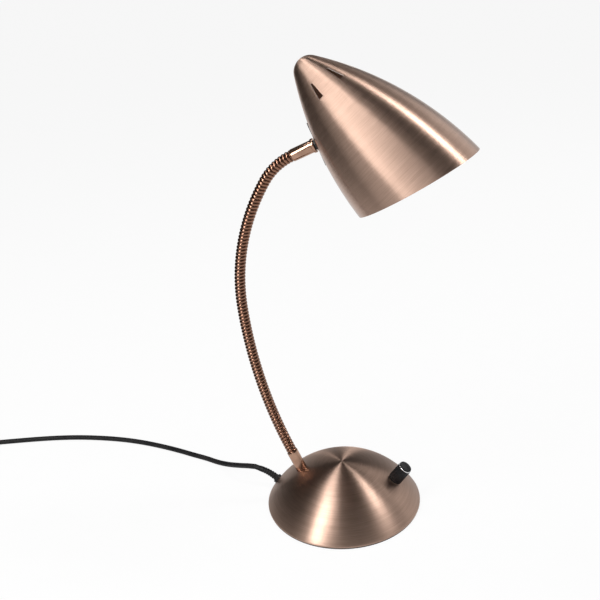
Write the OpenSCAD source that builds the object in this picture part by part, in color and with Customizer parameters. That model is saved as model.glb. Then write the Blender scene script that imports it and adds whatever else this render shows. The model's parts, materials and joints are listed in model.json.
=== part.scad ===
// Desk lamp with a spun dome foot, a gooseneck and a slant-cut bullet shade.
// Millimetres. +Z is up and the origin is the centre of the foot's underside.
// The neck stands in one upright plane through the origin, which neck_az turns.

/* [Foot] */
// Diameter of the foot
base_d = 150; // [140:1:170]
// Rise of the dome above its straight edge
base_rise = 42; // [38:1:46]
// Sheet thickness of the dome
base_wall = 1.2; // [0.8:0.1:1.6]
// Height of the straight edge under the dome
edge_h = 1.5; // [1.2:0.1:2.5]
// Thickness of the foam pad under the foot
pad_t = 1.5; // [1:0.1:3]
// Thickness of the cover plate
plate_t = 1.5; // [1:0.1:2]
// Diameter of the iron weight
weight_d = 116; // [100:1:120]
// Thickness of the iron weight
weight_t = 8; // [7:0.5:9]

/* [Neck] */
// Heading of the neck's plane, counted from +X
neck_az = -12; // [-30:1:30]
// Place of the neck, as a share of the way from the foot's centre to its edge
neck_share = 0.54; // [0.48:0.01:0.58]
// Backward lean of the neck where it leaves the foot
neck_lean = 22.5; // [18:0.5:27]
// Length of the ferrule on the foot
foot_ferrule_l = 21; // [18:0.5:26]
// Diameter of both ferrules
ferrule_d = 10.9; // [10.5:0.1:13]
// Outer diameter of the gooseneck
neck_d = 10.2; // [9.5:0.1:10.4]
// Bore of the gooseneck
neck_bore = 5.2; // [4.6:0.1:5.6]
// Depth of the groove between two turns
rib_depth = 0.8; // [0.5:0.1:1]
// Number of turns in each rigid stretch
ribs = 12; // [8:1:14]
// Number of rigid stretches in the gooseneck
stretches = 9; // [9:1:9]
// Largest swing of one stretch against the next
swing = 15; // [8:1:18]
// Bend radius and turn of the lower neck
lower_radius = 475; // [420:5:520]
lower_turn = 19; // [16:0.5:21]
// Bend radius and turn of the middle neck
mid_radius = 200; // [180:5:220]
mid_turn = 36; // [32:0.5:38]
// Bend radius and turn of the upper neck
top_radius = 57; // [54:1:62]
top_turn = 34.5; // [32:0.5:36]

/* [Shade] */
// Length of the shade along its axis
shade_l = 139; // [130:1:145]
// Radius of the shade's nose
nose_radius = 13.7; // [12:0.1:15]
// Angle between the wall and the axis where the nose ends
nose_angle = 32; // [30:0.5:34]
// Radius of the curve that the wall follows to the rim
side_radius = 284; // [265:1:310]
// Slant of the rim against a square cut
rim_slant = 14.5; // [8:0.5:18]
// Sheet thickness of the shade
shade_wall = 0.9; // [0.6:0.1:1.2]
// Place of the joint along the shade's axis, from the tip
joint_t = 58; // [55:1:62]
// Turn of the shade on its joint
shade_turn = -7; // [-15:1:15]
// Length of the ferrule at the shade
head_ferrule_l = 19.2; // [16:0.2:24]
// Number of vents round the front of the shade
vents = 5; // [3:2:5]
// Angle from vent to vent
vent_step = 47.5; // [42:0.5:50]
// Start and end of a vent along the axis, from the tip
vent_from = 23; // [21:1:25]
vent_to = 37; // [32:1:38]
// Width of a vent at its narrow and at its wide end
vent_narrow = 1.8; // [1:0.1:3]
vent_wide = 4.8; // [3.5:0.1:6]

/* [Lampholder] */
// Place of the holder's bracket along the shade's axis
bracket_t = 42; // [41:0.5:44]
// Diameter of the lampholder
holder_d = 26; // [24:0.5:29]
// Length of the lampholder
holder_l = 33; // [31:0.5:35]
// Diameter of the globe bulb
bulb_d = 45; // [40:1:46]
// Length of the bulb from its cap's shoulder to its front
bulb_l = 56; // [52:1:59]

/* [Knob] */
// Place of the knob, as a share of the way from the foot's centre to its edge
knob_share = 0.68; // [0.64:0.01:0.72]
// Heading of the knob
knob_az = -15; // [-40:1:40]
// Diameter of the knob
knob_d = 13.5; // [13.2:0.1:16]
// Length of the knob's grip
knob_l = 17; // [14:0.5:20]
// Number of flutes round the grip
flutes = 24; // [16:1:30]

/* [Cord] */
// Diameter of the cord
cord_d = 5.4; // [5:0.1:5.6]
// Height of the gland's centre above the floor
gland_z = 8; // [7.8:0.1:9]
// Heading of the gland
gland_az = 154; // [154:1:154]
// Length of the gland's bend sleeve
sleeve_l = 20; // [18:0.5:22]
// Turns of cord in each of the coil's two layers
coil_turns = 3.5; // [2.5:1:3.5]
// Step from one turn of the coil to the next
coil_step = 6; // [5.9:0.1:6.4]
// Radius of the coil's innermost turn
coil_inner = 21.6; // [21.6:0.1:23]

/* [Hidden] */
$fn = 96;

// Clearances
fit = 0.05;           // radial play of a turning or slid-in fit
seat = 0.02;          // play between faces that rest on each other
slack = 0.4;          // play of a bolt hole or a soft piece

// Colours
copper = [0.66, 0.43, 0.33];
steel = [0.72, 0.72, 0.74];
iron = [0.28, 0.28, 0.30];
brass = [0.80, 0.65, 0.35];
black = [0.06, 0.06, 0.06];
white = [0.93, 0.92, 0.90];
glass = [0.95, 0.94, 0.90];

// Foot: the dome is a cap of a sphere
base_r = base_d / 2;
neck_r = neck_share * base_r;
knob_r = knob_share * base_r;
edge_z = pad_t + edge_h;
dome_r = (base_r * base_r + base_rise * base_rise) / (2 * base_rise);
dome_zc = edge_z + base_rise - dome_r;
skirt_r = sqrt(pow(dome_r - base_wall, 2) - pow(edge_z - dome_zc, 2));
plate_top = pad_t + plate_t;
plate_r = skirt_r - slack;
weight_z = plate_top + seat;
weight_top = weight_z + weight_t;
pad_inset = 0.5;      // the pad stays this far inside the foot's edge
dish_r = 9.5;         // raised middle of the cover plate, over the screw's head
dish_h = 3;
pillar_d = 12;
bolt_d = 6;
bolt_in = 8;          // length of the centre screw inside the pillar
bolt_hole = 14;       // depth of the pillar's hole
screw_head_d = 12;
weight_edge = 1.5;    // hollow round the weight's upper edge

// Height and slope of the dome at a distance r from the centre
function dome_z(r, inset = 0) = dome_zc + sqrt(pow(dome_r - inset, 2) - r * r);
function dome_tilt(r) = asin(r / dome_r);

// Neck: a straight ferrule and three arcs that follow each other without a kink
neck_foot = [-neck_r, dome_z(neck_r)];
neck_start = neck_foot + foot_ferrule_l * [-sin(neck_lean), cos(neck_lean)];
arcs = [[lower_radius, lower_turn], [mid_radius, mid_turn], [top_radius, top_turn]];
arc_l = [for (a = arcs) a[0] * a[1] * PI / 180];
neck_l = arc_l[0] + arc_l[1] + arc_l[2];
stretch_l = neck_l / stretches;
rib_pitch = stretch_l / ribs;
crest_r = neck_d / 2;
groove_r = crest_r - rib_depth;
bore_r = neck_bore / 2;
lead_r = 1.7;         // radius of the lead inside the neck
lead_below = 12;      // the lead runs on this far under the foot ferrule
spigot_l = 5;         // length of the neck's plain ends in the ferrules
neck_sides = 10;
nipple_d = 8;
nipple_bore = 5.2;
nipple_in = 8;        // depth of a nipple in its ferrule
nipple_out = 10;      // length of the foot's nipple under the dome
nipple_nut_w = 13;    // width across the flats of both nipple nuts
nipple_nut_t = 3.5;
washer_d = 18;
washer_low = 4.2;     // the washer's flat face lies this deep under the dome's top side
ferrule_root = 6;     // the foot ferrule is cut from a blank this much longer

// Angle turned within arc i at a length u along the neck
function arc_from(i) = i == 0 ? 0 : arc_from(i - 1) + arc_l[i - 1];
function turned(i, u) = min(arcs[i][1], max(0, (u - arc_from(i)) / arcs[i][0] * 180 / PI));
// Heading of the neck at u, counted forward from straight up
function heading(u) = turned(0, u) + turned(1, u) + turned(2, u) - neck_lean;
// Step made by an arc of radius r from heading h through angle a
function arc_step(r, h, a) = r * [cos(h) - cos(h + a), sin(h + a) - sin(h)];
// Point of the neck's centre line at u, in its own plane, straight beyond both ends
function place(u) = neck_start
    + arc_step(arcs[0][0], -neck_lean, turned(0, u))
    + arc_step(arcs[1][0], turned(0, u) - neck_lean, turned(1, u))
    + arc_step(arcs[2][0], turned(0, u) + turned(1, u) - neck_lean, turned(2, u))
    + (min(u, 0) + max(u - neck_l, 0)) * [sin(heading(u)), cos(heading(u))];
// How far a piece of radius r ends short of a joint, so that it can swing
function setback(r) = r * tan(swing / 2) + 2 * fit;

// Head: the ferrule, a nut, a bare thread and a bar stand between neck and shade
collar_t = 2.4;
collar_d = 12.6;
bare_l = 1.4;
bar_t = 0.8;
bar_l = 38;
bar_w = 4;
joint_reach = head_ferrule_l + collar_t + bare_l + bar_t;
neck_end = place(neck_l);
end_heading = heading(neck_l);
head_nipple_l = 11;   // length of the head's nipple inside the shade
lead_out = 2;         // the neck's lead shows this far beyond the nipple

// Shade: a nose arc and a side arc meet without a kink
nose_end = [nose_radius * cos(nose_angle), nose_radius * (1 - sin(nose_angle))];
side_c = nose_end + side_radius * [-cos(nose_angle), sin(nose_angle)];
function shade_radius(t, inset = 0) =
    side_c[0] + sqrt(pow(side_radius - inset, 2) - pow(t - side_c[1], 2));
wall_angle = asin((side_c[1] - joint_t) / side_radius);
joint_r = shade_radius(joint_t);
rim_swing = (shade_radius(shade_l) + 1) * tan(rim_slant);
rim_band = 1.7;       // length of one cone where the rim cuts the wall
rim_from = shade_l - rim_swing;
rim_bands = ceil(2 * rim_swing / rim_band) + 1;

// Lampholder
bracket_s = 1.5;
bracket_w = 12;
holder_screw_y = 4.5; // each screw of the holder stands this far to the side
holder_screw_d = 2.5;
holder_step = 3;      // the holder's ends are this much narrower than its middle
bracket_gap = 1.1;    // the flat leg stands this far inside the curved wall
bracket_foot = 9;
holder_from = bracket_t + bracket_s + seat;
holder_to = holder_from + holder_l;
thread_d = 15;        // bore of the lampholder's thread shell
thread_wall = 0.8;
socket_l = 25;
cap_d = 13.9;
cap_l = 19;
contact_h = 1.6;
lead_entry = holder_from + 5;
lead_side = 2;
cap_z = holder_to - socket_l + contact_h + 2 * seat;
shoulder_z = cap_z + cap_l;

// Knob, in the frame of the dome's surface under it
knob_gap = 1;
knob_hollow = 3;
knob_hollow_d = 11.4;
flute_in = 0.4;       // depth of a flute
flute_r = 0.75;
switch_nut_d = 10.4;
switch_nut_t = 2;
bush_d = 7;
bush_top = 3.5;
shaft_d = 6;
shaft_l = 24;
shaft_flat = 1;       // the flat takes this much off the shaft's side
switch_d = 20;
switch_l = 11;
switch_top = -base_wall - 0.7;
shaft_low = switch_top - switch_l + 2.4;
lug_side = 5;         // each lug of the switch stands this far to its side
lug_l = 4;
lug_wire_r = 1;
ring_t = 0.9;
ring_in = 0.1;        // the ring and the cap stay this far inside the grip
cap_in = 0.7;
cap_t = 1.6;
cap_crown = 40;       // radius of the cap's crowned top
cap_neck_d = knob_d - 4;
knob_top = knob_gap + knob_l + ring_t;

// Where the switch's wires start, at the tips of its lugs
lug_depth = switch_l - switch_top + lug_l + 0.2 + lug_wire_r + 0.2;
lug_r = knob_r - lug_depth * sin(dome_tilt(knob_r));
lug_z = dome_z(knob_r) - lug_depth * cos(dome_tilt(knob_r));
lug = [lug_r * cos(knob_az), lug_r * sin(knob_az), lug_z];
lug_room_r = 14;      // room for the wires where they turn away from the lugs
lug_room = 2.2;       // room under the wires

// Gland and cord
gland_r = sqrt(dome_r * dome_r - pow(gland_z - dome_zc, 2));
gland_up = 90 - dome_tilt(gland_r);
flange_d = 9.6;
flange_t = 2.4;
gland_in = 1;
gland_lip_d = 8.6;    // lip of the gland inside the dome
gland_waist = 2;      // the gland is this much narrower where it passes the dome's sheet
sleeve_radius = 40;   // bend of the sleeve
sleeve_root = 3.5;    // radius of the sleeve at the flange
sleeve_lip = 0.15;    // thickness of the sleeve at its tip
cord_r = cord_d / 2;
// Point and pitch of the gland's sleeve at a length x along it
function sleeve_pitch(x) = gland_up - x / sleeve_radius * 180 / PI;
function sleeve_at(x) = let (
        r0 = gland_r + flange_t * cos(gland_up),
        z0 = gland_z + flange_t * sin(gland_up),
        r = r0 + sleeve_radius * (sin(gland_up) - sin(sleeve_pitch(x))),
        z = z0 + sleeve_radius * (cos(sleeve_pitch(x)) - cos(gland_up))
    ) [r * cos(gland_az), r * sin(gland_az), z];
sleeve_tip = sleeve_at(sleeve_l);
sleeve_dir = unit(sleeve_at(sleeve_l) - sleeve_at(sleeve_l * 0.8));

// Lead, clamp and terminals in the foot
clamp_r = 33;         // distance of the clamp from the foot's centre
clamp_pitch = 7;      // each screw stands this far to the side of the lead
clamp_screw_d = 2.8;
clamp_head_d = 5.2;
clamp_floor = 4;      // height of the clamp under its screws' heads
clamp_hole = 6;       // depth of the weight's holes for them
notch_r = 37;         // the weight is notched from here outwards, where the lead comes in
notch_w = 9;
lead_z = weight_top + seat + cord_r + slack / 2;
block_c = [1, 25];    // middle of the terminal block
block_size = [17, 18, 9];
block_z = weight_top + seat;
function lead_point(r, z) = [r * cos(gland_az), r * sin(gland_az), z];
clamp_holes = [for (s = [-1, 1])
    clamp_r * [cos(gland_az), sin(gland_az)] + s * clamp_pitch * [-sin(gland_az), cos(gland_az)]];
inlet_end = [block_c[0] - block_size[0] / 2 - 1.5, block_c[1] - 2, lead_z];

// Coil: in and out again, with the climb in the half turn where it reverses
coil_c = [-470, 110];
coil_outer = coil_inner + coil_turns * coil_step;
coil_z = 3.2;
coil_rise = coil_step;
coil_end = 720 * coil_turns;
loop_rings = 24;
tail_l = 26;
function coil_radius(a) = coil_inner + coil_step * abs(a / 360 - coil_turns);
function coil_height(a) = coil_z
    + coil_rise * min(1, max(0, (a - 360 * coil_turns) / 180 + 0.5));
function coil_point(a) = [
    coil_c[0] + coil_radius(a) * cos(90 + a),
    coil_c[1] + coil_radius(a) * sin(90 + a),
    coil_height(a)];
coil_start = coil_point(0) + [cord_d, 0, 0];
tie_angle = 225;      // heading of the tie, seen from the coil's middle
tie_w = 8;
tie_t = 0.6;
tie_gap = 0.8;        // play between the tie and the cord
plug_z = 6.85;
tail_end = [coil_c[0] - tail_l, coil_c[1] + coil_outer, plug_z];

// Flat two-pin plug: pins 19 mm long, 4 mm thick and 19 mm apart, with sleeved roots
pin_d = 4;
pin_core_d = 3;
pin_l = 19;
pin_tip = 1.5;
pin_gap = 19;
pin_sleeve = 10;
pin_in = 12;          // depth of a pin in the plug
plug_l = 34;
relief_l = 20;        // length of the plug's bend relief
plug_t = 13.6;
plug_half = [[6, 0], [9, 8], [9, 14], [13.5, 26], [13.5, plug_l]];

// Hand-laid route of the cord on the floor, from the gland's sleeve to the coil
floor_route = [
    [-95, 47, 16], [-102, 52.5, 13.2], [-109, 59, 9.9],
    [-116, 65.5, 6.8], [-124, 72.5, 4.2], [-132, 79, 2.8], [-143, 87, 2.5],
    [-158, 96, 2.5], [-176, 107, 2.5], [-196, 118, 2.5], [-218, 128.5, 2.5],
    [-242, 137.5, 2.5], [-268, 144.5, 2.5], [-295, 149.5, 2.5], [-322, 152, 2.5],
    [-349, 152.5, 2.5], [-376, 152, 2.5], [-402, 151.5, 2.5], [-426, 152, 2.7]
];

// ---- Sweeps ----

function unit(v) = v / norm(v);
function flat(rows) = [for (row = rows) each row];

// Two triangles for each cell of a net of m rings with n points
function net_faces(m, n, closed) = [
    for (i = [0:m - (closed ? 1 : 2)]) for (k = [0:n - 1])
        let (a = i * n + k, b = i * n + (k + 1) % n,
             c = ((i + 1) % m) * n + k, d = ((i + 1) % m) * n + (k + 1) % n)
        each [[a, b, d], [a, d, c]]];
function end_faces(m, n) = [
    for (k = [1:n - 2]) each [[0, k + 1, k], [(m - 1) * n, (m - 1) * n + k, (m - 1) * n + k + 1]]];

// A ring round a point of a route, with a flat side down
function route_ring(p, dir, r, n) = let (s = unit(cross(dir, [0, 0, 1])), t = cross(s, dir)) [
    for (k = [0:n - 1]) let (a = 360 * (k + 0.5) / n - 90)
        p + r * (cos(a) * s + sin(a) * t)];
function route_dir(path, i) =
    unit(path[min(i + 1, len(path) - 1)] - path[max(i - 1, 0)]);

// Tube along a route, with one radius or a radius for each point
module route_tube(path, radii, n) {
    m = len(path);
    rings = [for (i = [0:m - 1])
        route_ring(path[i], route_dir(path, i), is_list(radii) ? radii[i] : radii, n)];
    polyhedron(flat(rings), concat(net_faces(m, n, false), end_faces(m, n)));
}

// A ring round the neck's centre line, in the neck's plane
function neck_ring(u, r, n) = let (h = heading(u), p = place(u)) [
    for (k = [0:n - 1]) let (a = 360 * (k + 0.5) / n)
        [p[0] + r * cos(a) * cos(h), -r * sin(a), p[1] - r * cos(a) * sin(h)]];

// Closed skin through rings given as [length, radius]: out along the neck and back in its bore
module neck_skin(stations, n) {
    rings = [for (s = stations) neck_ring(s[0], s[1], n)];
    polyhedron(flat(rings), net_faces(len(rings), n, true));
}

module neck_rod(u0, u1, r, steps, n) {
    rings = [for (i = [0:steps]) neck_ring(u0 + (u1 - u0) * i / steps, r, n)];
    polyhedron(flat(rings), concat(net_faces(steps + 1, n, false), end_faces(steps + 1, n)));
}

// Catmull-Rom curve through the points, with a number of steps between two of them
function spline_at(p0, p1, p2, p3, t) = 0.5 * (2 * p1 + (p2 - p0) * t
    + (2 * p0 - 5 * p1 + 4 * p2 - p3) * t * t + (3 * p1 - p0 - 3 * p2 + p3) * t * t * t);
function spline(pts, steps) = let (n = len(pts)) [
    for (i = [0:n - 2]) for (j = [0:steps - 1])
        spline_at(pts[max(i - 1, 0)], pts[i], pts[i + 1], pts[min(i + 2, n - 1)], j / steps),
    pts[n - 1]];

// ---- Places ----

module on_dome(r, az) {
    rotate([0, 0, az]) translate([r, 0, dome_z(r)]) rotate([0, dome_tilt(r), 0]) children();
}

module in_neck_plane() {
    rotate([0, 0, neck_az]) children();
}

module at_neck_foot() {
    in_neck_plane() translate([neck_foot[0], 0, neck_foot[1]]) rotate([0, -neck_lean, 0]) children();
}

module at_neck_end() {
    in_neck_plane() translate([neck_end[0], 0, neck_end[1]]) rotate([0, end_heading, 0]) children();
}

// The outside of the shade's wall at the joint: +Z points into the shade, +X to its rim
module at_joint() {
    at_neck_end() translate([0, 0, joint_reach]) rotate([0, 0, shade_turn]) children();
}

// The shade's own frame: the tip is the origin, +Z runs to the rim, +X is the neck's side
module in_shade() {
    at_joint() rotate([0, 90 - wall_angle, 0]) translate([-joint_r, 0, -joint_t]) children();
}

module at_plug() {
    translate(tail_end) rotate([0, -90, 0]) children();
}

// ---- Plain shapes ----

module tube(d, bore, h) {
    difference() {
        cylinder(d = d, h = h);
        translate([0, 0, -1]) cylinder(d = bore, h = h + 2);
    }
}

module hex_nut(across, bore, h) {
    difference() {
        cylinder(d = across / cos(30), h = h, $fn = 6);
        translate([0, 0, -1]) cylinder(d = bore, h = h + 2);
    }
}

// Pan-head screw along -Z, its head's underside at the origin
module pan_screw(d, l, head_d, head_h) {
    translate([0, 0, -l]) cylinder(d = d, h = l);
    difference() {
        intersection() {
            cylinder(d = head_d, h = head_h);
            translate([0, 0, head_h - head_d]) sphere(r = head_d);
        }
        translate([0, 0, head_h / 2]) for (a = [0, 90]) rotate([0, 0, a])
            translate([-head_d * 0.3, -head_d * 0.06, 0]) cube([head_d * 0.6, head_d * 0.12, head_h]);
    }
}

// Everything inside the dome's sheet, or inside its outer face
module dome_ball(inset) {
    translate([0, 0, dome_zc]) sphere(r = dome_r - inset, $fn = 180);
}

// ---- Foot ----

// Half outline of the dome with its straight edge, set in by inset
module dome_region(inset, edge_r, from) {
    intersection() {
        translate([0, dome_zc]) circle(r = dome_r - inset, $fn = 180);
        translate([0, from]) square([edge_r, dome_r]);
    }
}

module base_shell() {
    color(copper) difference() {
        rotate_extrude() difference() {
            dome_region(0, base_r, pad_t);
            dome_region(base_wall, skirt_r, pad_t - 1);
        }
        at_neck_foot() translate([0, 0, -nipple_out])
            cylinder(d = nipple_d + slack, h = 2 * nipple_out);
        on_dome(knob_r, knob_az) translate([0, 0, -6]) cylinder(d = bush_d + slack, h = 12);
        on_dome(gland_r, gland_az) translate([0, 0, -6]) cylinder(d = flange_d - gland_waist, h = 12);
    }
}

module foot_pad() {
    color(black) cylinder(r = base_r - pad_inset, h = pad_t);
}

module base_plate() {
    color(steel) rotate_extrude() polygon([
        [bolt_d / 2 + slack, pad_t + dish_h], [dish_r, pad_t + dish_h],
        [dish_r + dish_h, pad_t], [plate_r, pad_t],
        [plate_r, plate_top], [dish_r + dish_h + plate_t / 2, plate_top],
        [dish_r + plate_t / 2, plate_top + dish_h], [bolt_d / 2 + slack, plate_top + dish_h]
    ]);
}

// The weight's hollows: over the cover plate's dish, for the lead, and for a low switch's wires
module base_weight() {
    color(iron) difference() {
        translate([0, 0, weight_z]) rotate_extrude() difference() {
            square([weight_d / 2, weight_t]);
            translate([weight_d / 2, weight_t]) circle(r = weight_edge);
        }
        cylinder(r = bolt_d / 2 + slack, h = weight_top + 1);
        translate([0, 0, weight_z - 1])
            cylinder(r = dish_r + dish_h + plate_t / 2 + slack, h = dish_h + 1 + seat);
        for (p = clamp_holes) translate([p[0], p[1], weight_top - clamp_hole])
            cylinder(d = clamp_screw_d + 2 * fit, h = clamp_hole + 1);
        rotate([0, 0, gland_az]) translate([notch_r, -notch_w / 2, 0])
            cube([base_r, notch_w, weight_top + 1]);
        on_dome(knob_r, knob_az) translate([0, 0, switch_top - switch_l - slack])
            cylinder(d = switch_d + 2 * slack, h = base_rise);
        translate(lug - [0, 0, lug_room]) cylinder(r = lug_room_r, h = base_rise);
    }
}

module centre_pillar() {
    color(steel) difference() {
        intersection() {
            translate([0, 0, weight_top + seat]) cylinder(d = pillar_d, h = base_rise, $fn = 6);
            dome_ball(base_wall + seat);
        }
        translate([0, 0, weight_top]) cylinder(d = bolt_d + 2 * fit, h = bolt_hole);
    }
}

module centre_screw() {
    color(steel) translate([0, 0, pad_t + dish_h - seat]) rotate([180, 0, 0])
        pan_screw(bolt_d, weight_top + bolt_in - pad_t, screw_head_d, dish_h - 2 * seat);
}

// ---- Neck mounting in the foot ----

module foot_ferrule() {
    color(copper) difference() {
        at_neck_foot() translate([0, 0, -ferrule_root])
            cylinder(d = ferrule_d, h = foot_ferrule_l + ferrule_root);
        dome_ball(-seat);
        at_neck_foot() translate([0, 0, -ferrule_root - 1])
            cylinder(d = nipple_d + 2 * fit, h = nipple_in + ferrule_root + 1);
        at_neck_foot() cylinder(d = nipple_bore, h = foot_ferrule_l + 1);
        at_neck_foot() translate([0, 0, foot_ferrule_l - spigot_l - slack])
            cylinder(r = groove_r + fit, h = spigot_l + 2);
    }
}

module foot_nipple() {
    color(steel) at_neck_foot() translate([0, 0, -nipple_out])
        tube(nipple_d, nipple_bore, nipple_in + nipple_out - seat);
}

module foot_washer() {
    color(steel) difference() {
        intersection() {
            at_neck_foot() translate([0, 0, -washer_low]) cylinder(d = washer_d, h = washer_d / 2);
            dome_ball(base_wall + seat);
        }
        at_neck_foot() translate([0, 0, -nipple_out])
            cylinder(d = nipple_d + 2 * fit, h = 2 * nipple_out);
    }
}

module foot_nut() {
    color(steel) at_neck_foot() translate([0, 0, -washer_low - seat - nipple_nut_t])
        hex_nut(nipple_nut_w, nipple_d + 2 * fit, nipple_nut_t);
}

// ---- Gooseneck ----

// Rings of one stretch: plain ends, and a crest and a groove for each turn
module neck_stretch(i) {
    from = (i - 1) * stretch_l;
    to = i * stretch_l;
    u0 = i == 1 ? -spigot_l : from + setback(groove_r);
    u1 = i == stretches ? neck_l + spigot_l : to - setback(groove_r);
    b0 = i == 1 ? -spigot_l : from + setback(bore_r);
    b1 = i == stretches ? neck_l + spigot_l : to - setback(bore_r);
    outer = [for (k = [0:ribs - 1]) each [
        if (k > 0) [from + k * rib_pitch, groove_r],
        [from + (k + 0.5) * rib_pitch, crest_r]]];
    steps = 5;
    inner = [for (k = [steps:-1:0]) [b0 + (b1 - b0) * k / steps, bore_r]];
    ends = [if (i == 1) [0, groove_r], if (i == stretches) [neck_l, groove_r]];
    color(copper) in_neck_plane() neck_skin(
        concat([[u0, groove_r]], i == 1 ? ends : [], outer, i == stretches ? ends : [],
            [[u1, groove_r]], inner), neck_sides);
}

// The lead in one stretch; the first and the last run on through their nipples
module neck_lead(i) {
    u0 = i == 1 ? -foot_ferrule_l - lead_below : (i - 1) * stretch_l + setback(lead_r);
    u1 = i == stretches ? neck_l + joint_reach + head_nipple_l + lead_out
        : i * stretch_l - setback(lead_r);
    color(black) in_neck_plane() neck_rod(u0, u1, lead_r, i == 1 || i == stretches ? 12 : 5, 8);
}

// ---- Switch and knob ----

module switch_body() {
    color(black) on_dome(knob_r, knob_az) difference() {
        union() {
            translate([0, 0, switch_top - switch_l]) cylinder(d = switch_d, h = switch_l);
            translate([0, 0, switch_top - 1]) cylinder(d = bush_d, h = bush_top - switch_top + 1);
            for (y = [-lug_side, lug_side])
                translate([-1.5, y - 0.4, switch_top - switch_l - lug_l]) cube([3, 0.8, lug_l + 1]);
        }
        translate([0, 0, switch_top - switch_l + 2]) cylinder(d = shaft_d + 2 * fit, h = 30);
    }
}

module switch_nut() {
    color(steel) on_dome(knob_r, knob_az) translate([0, 0, seat])
        tube(switch_nut_d, bush_d + 2 * fit, switch_nut_t);
}

module knob_shaft() {
    color(steel) on_dome(knob_r, knob_az) difference() {
        translate([0, 0, shaft_low]) cylinder(d = shaft_d, h = shaft_l);
        translate([shaft_d / 2 - shaft_flat, -shaft_d, knob_gap + knob_hollow - seat])
            cube([shaft_d, 2 * shaft_d, shaft_l]);
    }
}

// Round grip with flutes; its hollow clears the nut
module knob_grip() {
    color(black) on_dome(knob_r, knob_az) difference() {
        translate([0, 0, knob_gap]) linear_extrude(knob_l) difference() {
            circle(d = knob_d);
            for (k = [0:flutes - 1]) rotate([0, 0, 360 * k / flutes])
                translate([knob_d / 2 + flute_r - flute_in, 0]) circle(r = flute_r, $fn = 24);
        }
        translate([0, 0, knob_gap - 1]) cylinder(d = knob_hollow_d, h = knob_hollow + 1);
        intersection() {
            cylinder(d = shaft_d + 2 * seat, h = shaft_low + shaft_l + seat);
            translate([seat - shaft_flat - 1.5 * shaft_d, -shaft_d, 0])
                cube([2 * shaft_d, 2 * shaft_d, knob_top]);
        }
    }
}

module knob_ring() {
    color(steel) on_dome(knob_r, knob_az) translate([0, 0, knob_gap + knob_l])
        tube(knob_d - 2 * ring_in, cap_neck_d, ring_t);
}

module knob_cap() {
    color(black) on_dome(knob_r, knob_az) {
        translate([0, 0, knob_gap + knob_l]) cylinder(d = cap_neck_d - 2 * seat, h = ring_t);
        translate([0, 0, knob_top]) rotate_extrude() intersection() {
            square([knob_d / 2 - cap_in, cap_t]);
            translate([0, -cap_crown]) circle(r = cap_crown + cap_t, $fn = 180);
        }
    }
}

// ---- Head ----

module head_ferrule() {
    color(copper) at_neck_end() difference() {
        cylinder(d = ferrule_d, h = head_ferrule_l);
        translate([0, 0, -1]) cylinder(r = groove_r + fit, h = spigot_l + slack + 1);
        translate([0, 0, -1]) cylinder(d = nipple_bore, h = head_ferrule_l + 2);
        translate([0, 0, head_ferrule_l - nipple_in]) cylinder(d = nipple_d + 2 * fit, h = nipple_in + 1);
    }
}

module collar_nut() {
    color(copper) at_neck_end() translate([0, 0, head_ferrule_l + seat])
        tube(collar_d, nipple_d + 2 * fit, collar_t - 2 * seat);
}

module head_nipple() {
    from = head_ferrule_l - nipple_in + seat;
    color(iron) at_neck_end() translate([0, 0, from])
        tube(nipple_d, nipple_bore, joint_reach + head_nipple_l - from);
}

// Flat bar under the shade's wall that keeps the shade from turning
module joint_bar() {
    color(iron) at_joint() translate([0, 0, -bar_t]) difference() {
        union() {
            translate([-bar_l / 2, -bar_w / 2, 0]) cube([bar_l, bar_w, bar_t - seat]);
            cylinder(d = nipple_d + 3, h = bar_t - seat);
        }
        translate([0, 0, -1]) cylinder(d = nipple_d + 2 * fit, h = bar_t + 2);
    }
}

// Half outline of the shade, its wall set in by inset: the nose, the side arc, and a stack of
// short cones where the slanted rim cuts the wall
module shade_region(inset) {
    nose_z = nose_radius - (nose_radius - inset) * sin(nose_angle);
    intersection() {
        translate([0, nose_radius]) circle(r = nose_radius - inset, $fn = 72);
        square([nose_radius, nose_radius]);
    }
    intersection() {
        translate(side_c) circle(r = side_radius - inset, $fn = 180);
        translate([0, nose_z]) square([base_d, rim_from - nose_z]);
    }
    polygon(concat(
        [[0, rim_from + rim_bands * rim_band], [0, rim_from]],
        [for (i = [0:rim_bands]) let (t = rim_from + i * rim_band) [shade_radius(t, inset), t]]));
}

// Wedge-shaped vent through the wall, narrow towards the tip
module vent(angle) {
    rotate([0, 0, 180 + angle]) rotate([0, 90, 0]) linear_extrude(shade_radius(vent_to) + 5)
        polygon([
            [-vent_from, -vent_narrow / 2], [-vent_from, vent_narrow / 2],
            [-vent_to, vent_wide / 2], [-vent_to, -vent_wide / 2]
        ]);
}

module shade() {
    color(copper) difference() {
        in_shade() difference() {
            rotate_extrude() difference() {
                shade_region(0);
                shade_region(shade_wall);
            }
            translate([0, 0, shade_l]) rotate([0, rim_slant, 0])
                translate([-base_d, -base_d, 0]) cube([2 * base_d, 2 * base_d, base_d]);
            for (k = [0:vents - 1]) vent((k - (vents - 1) / 2) * vent_step);
        }
        at_joint() translate([0, 0, -4]) cylinder(d = nipple_d + slack, h = 10);
    }
}

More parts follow.
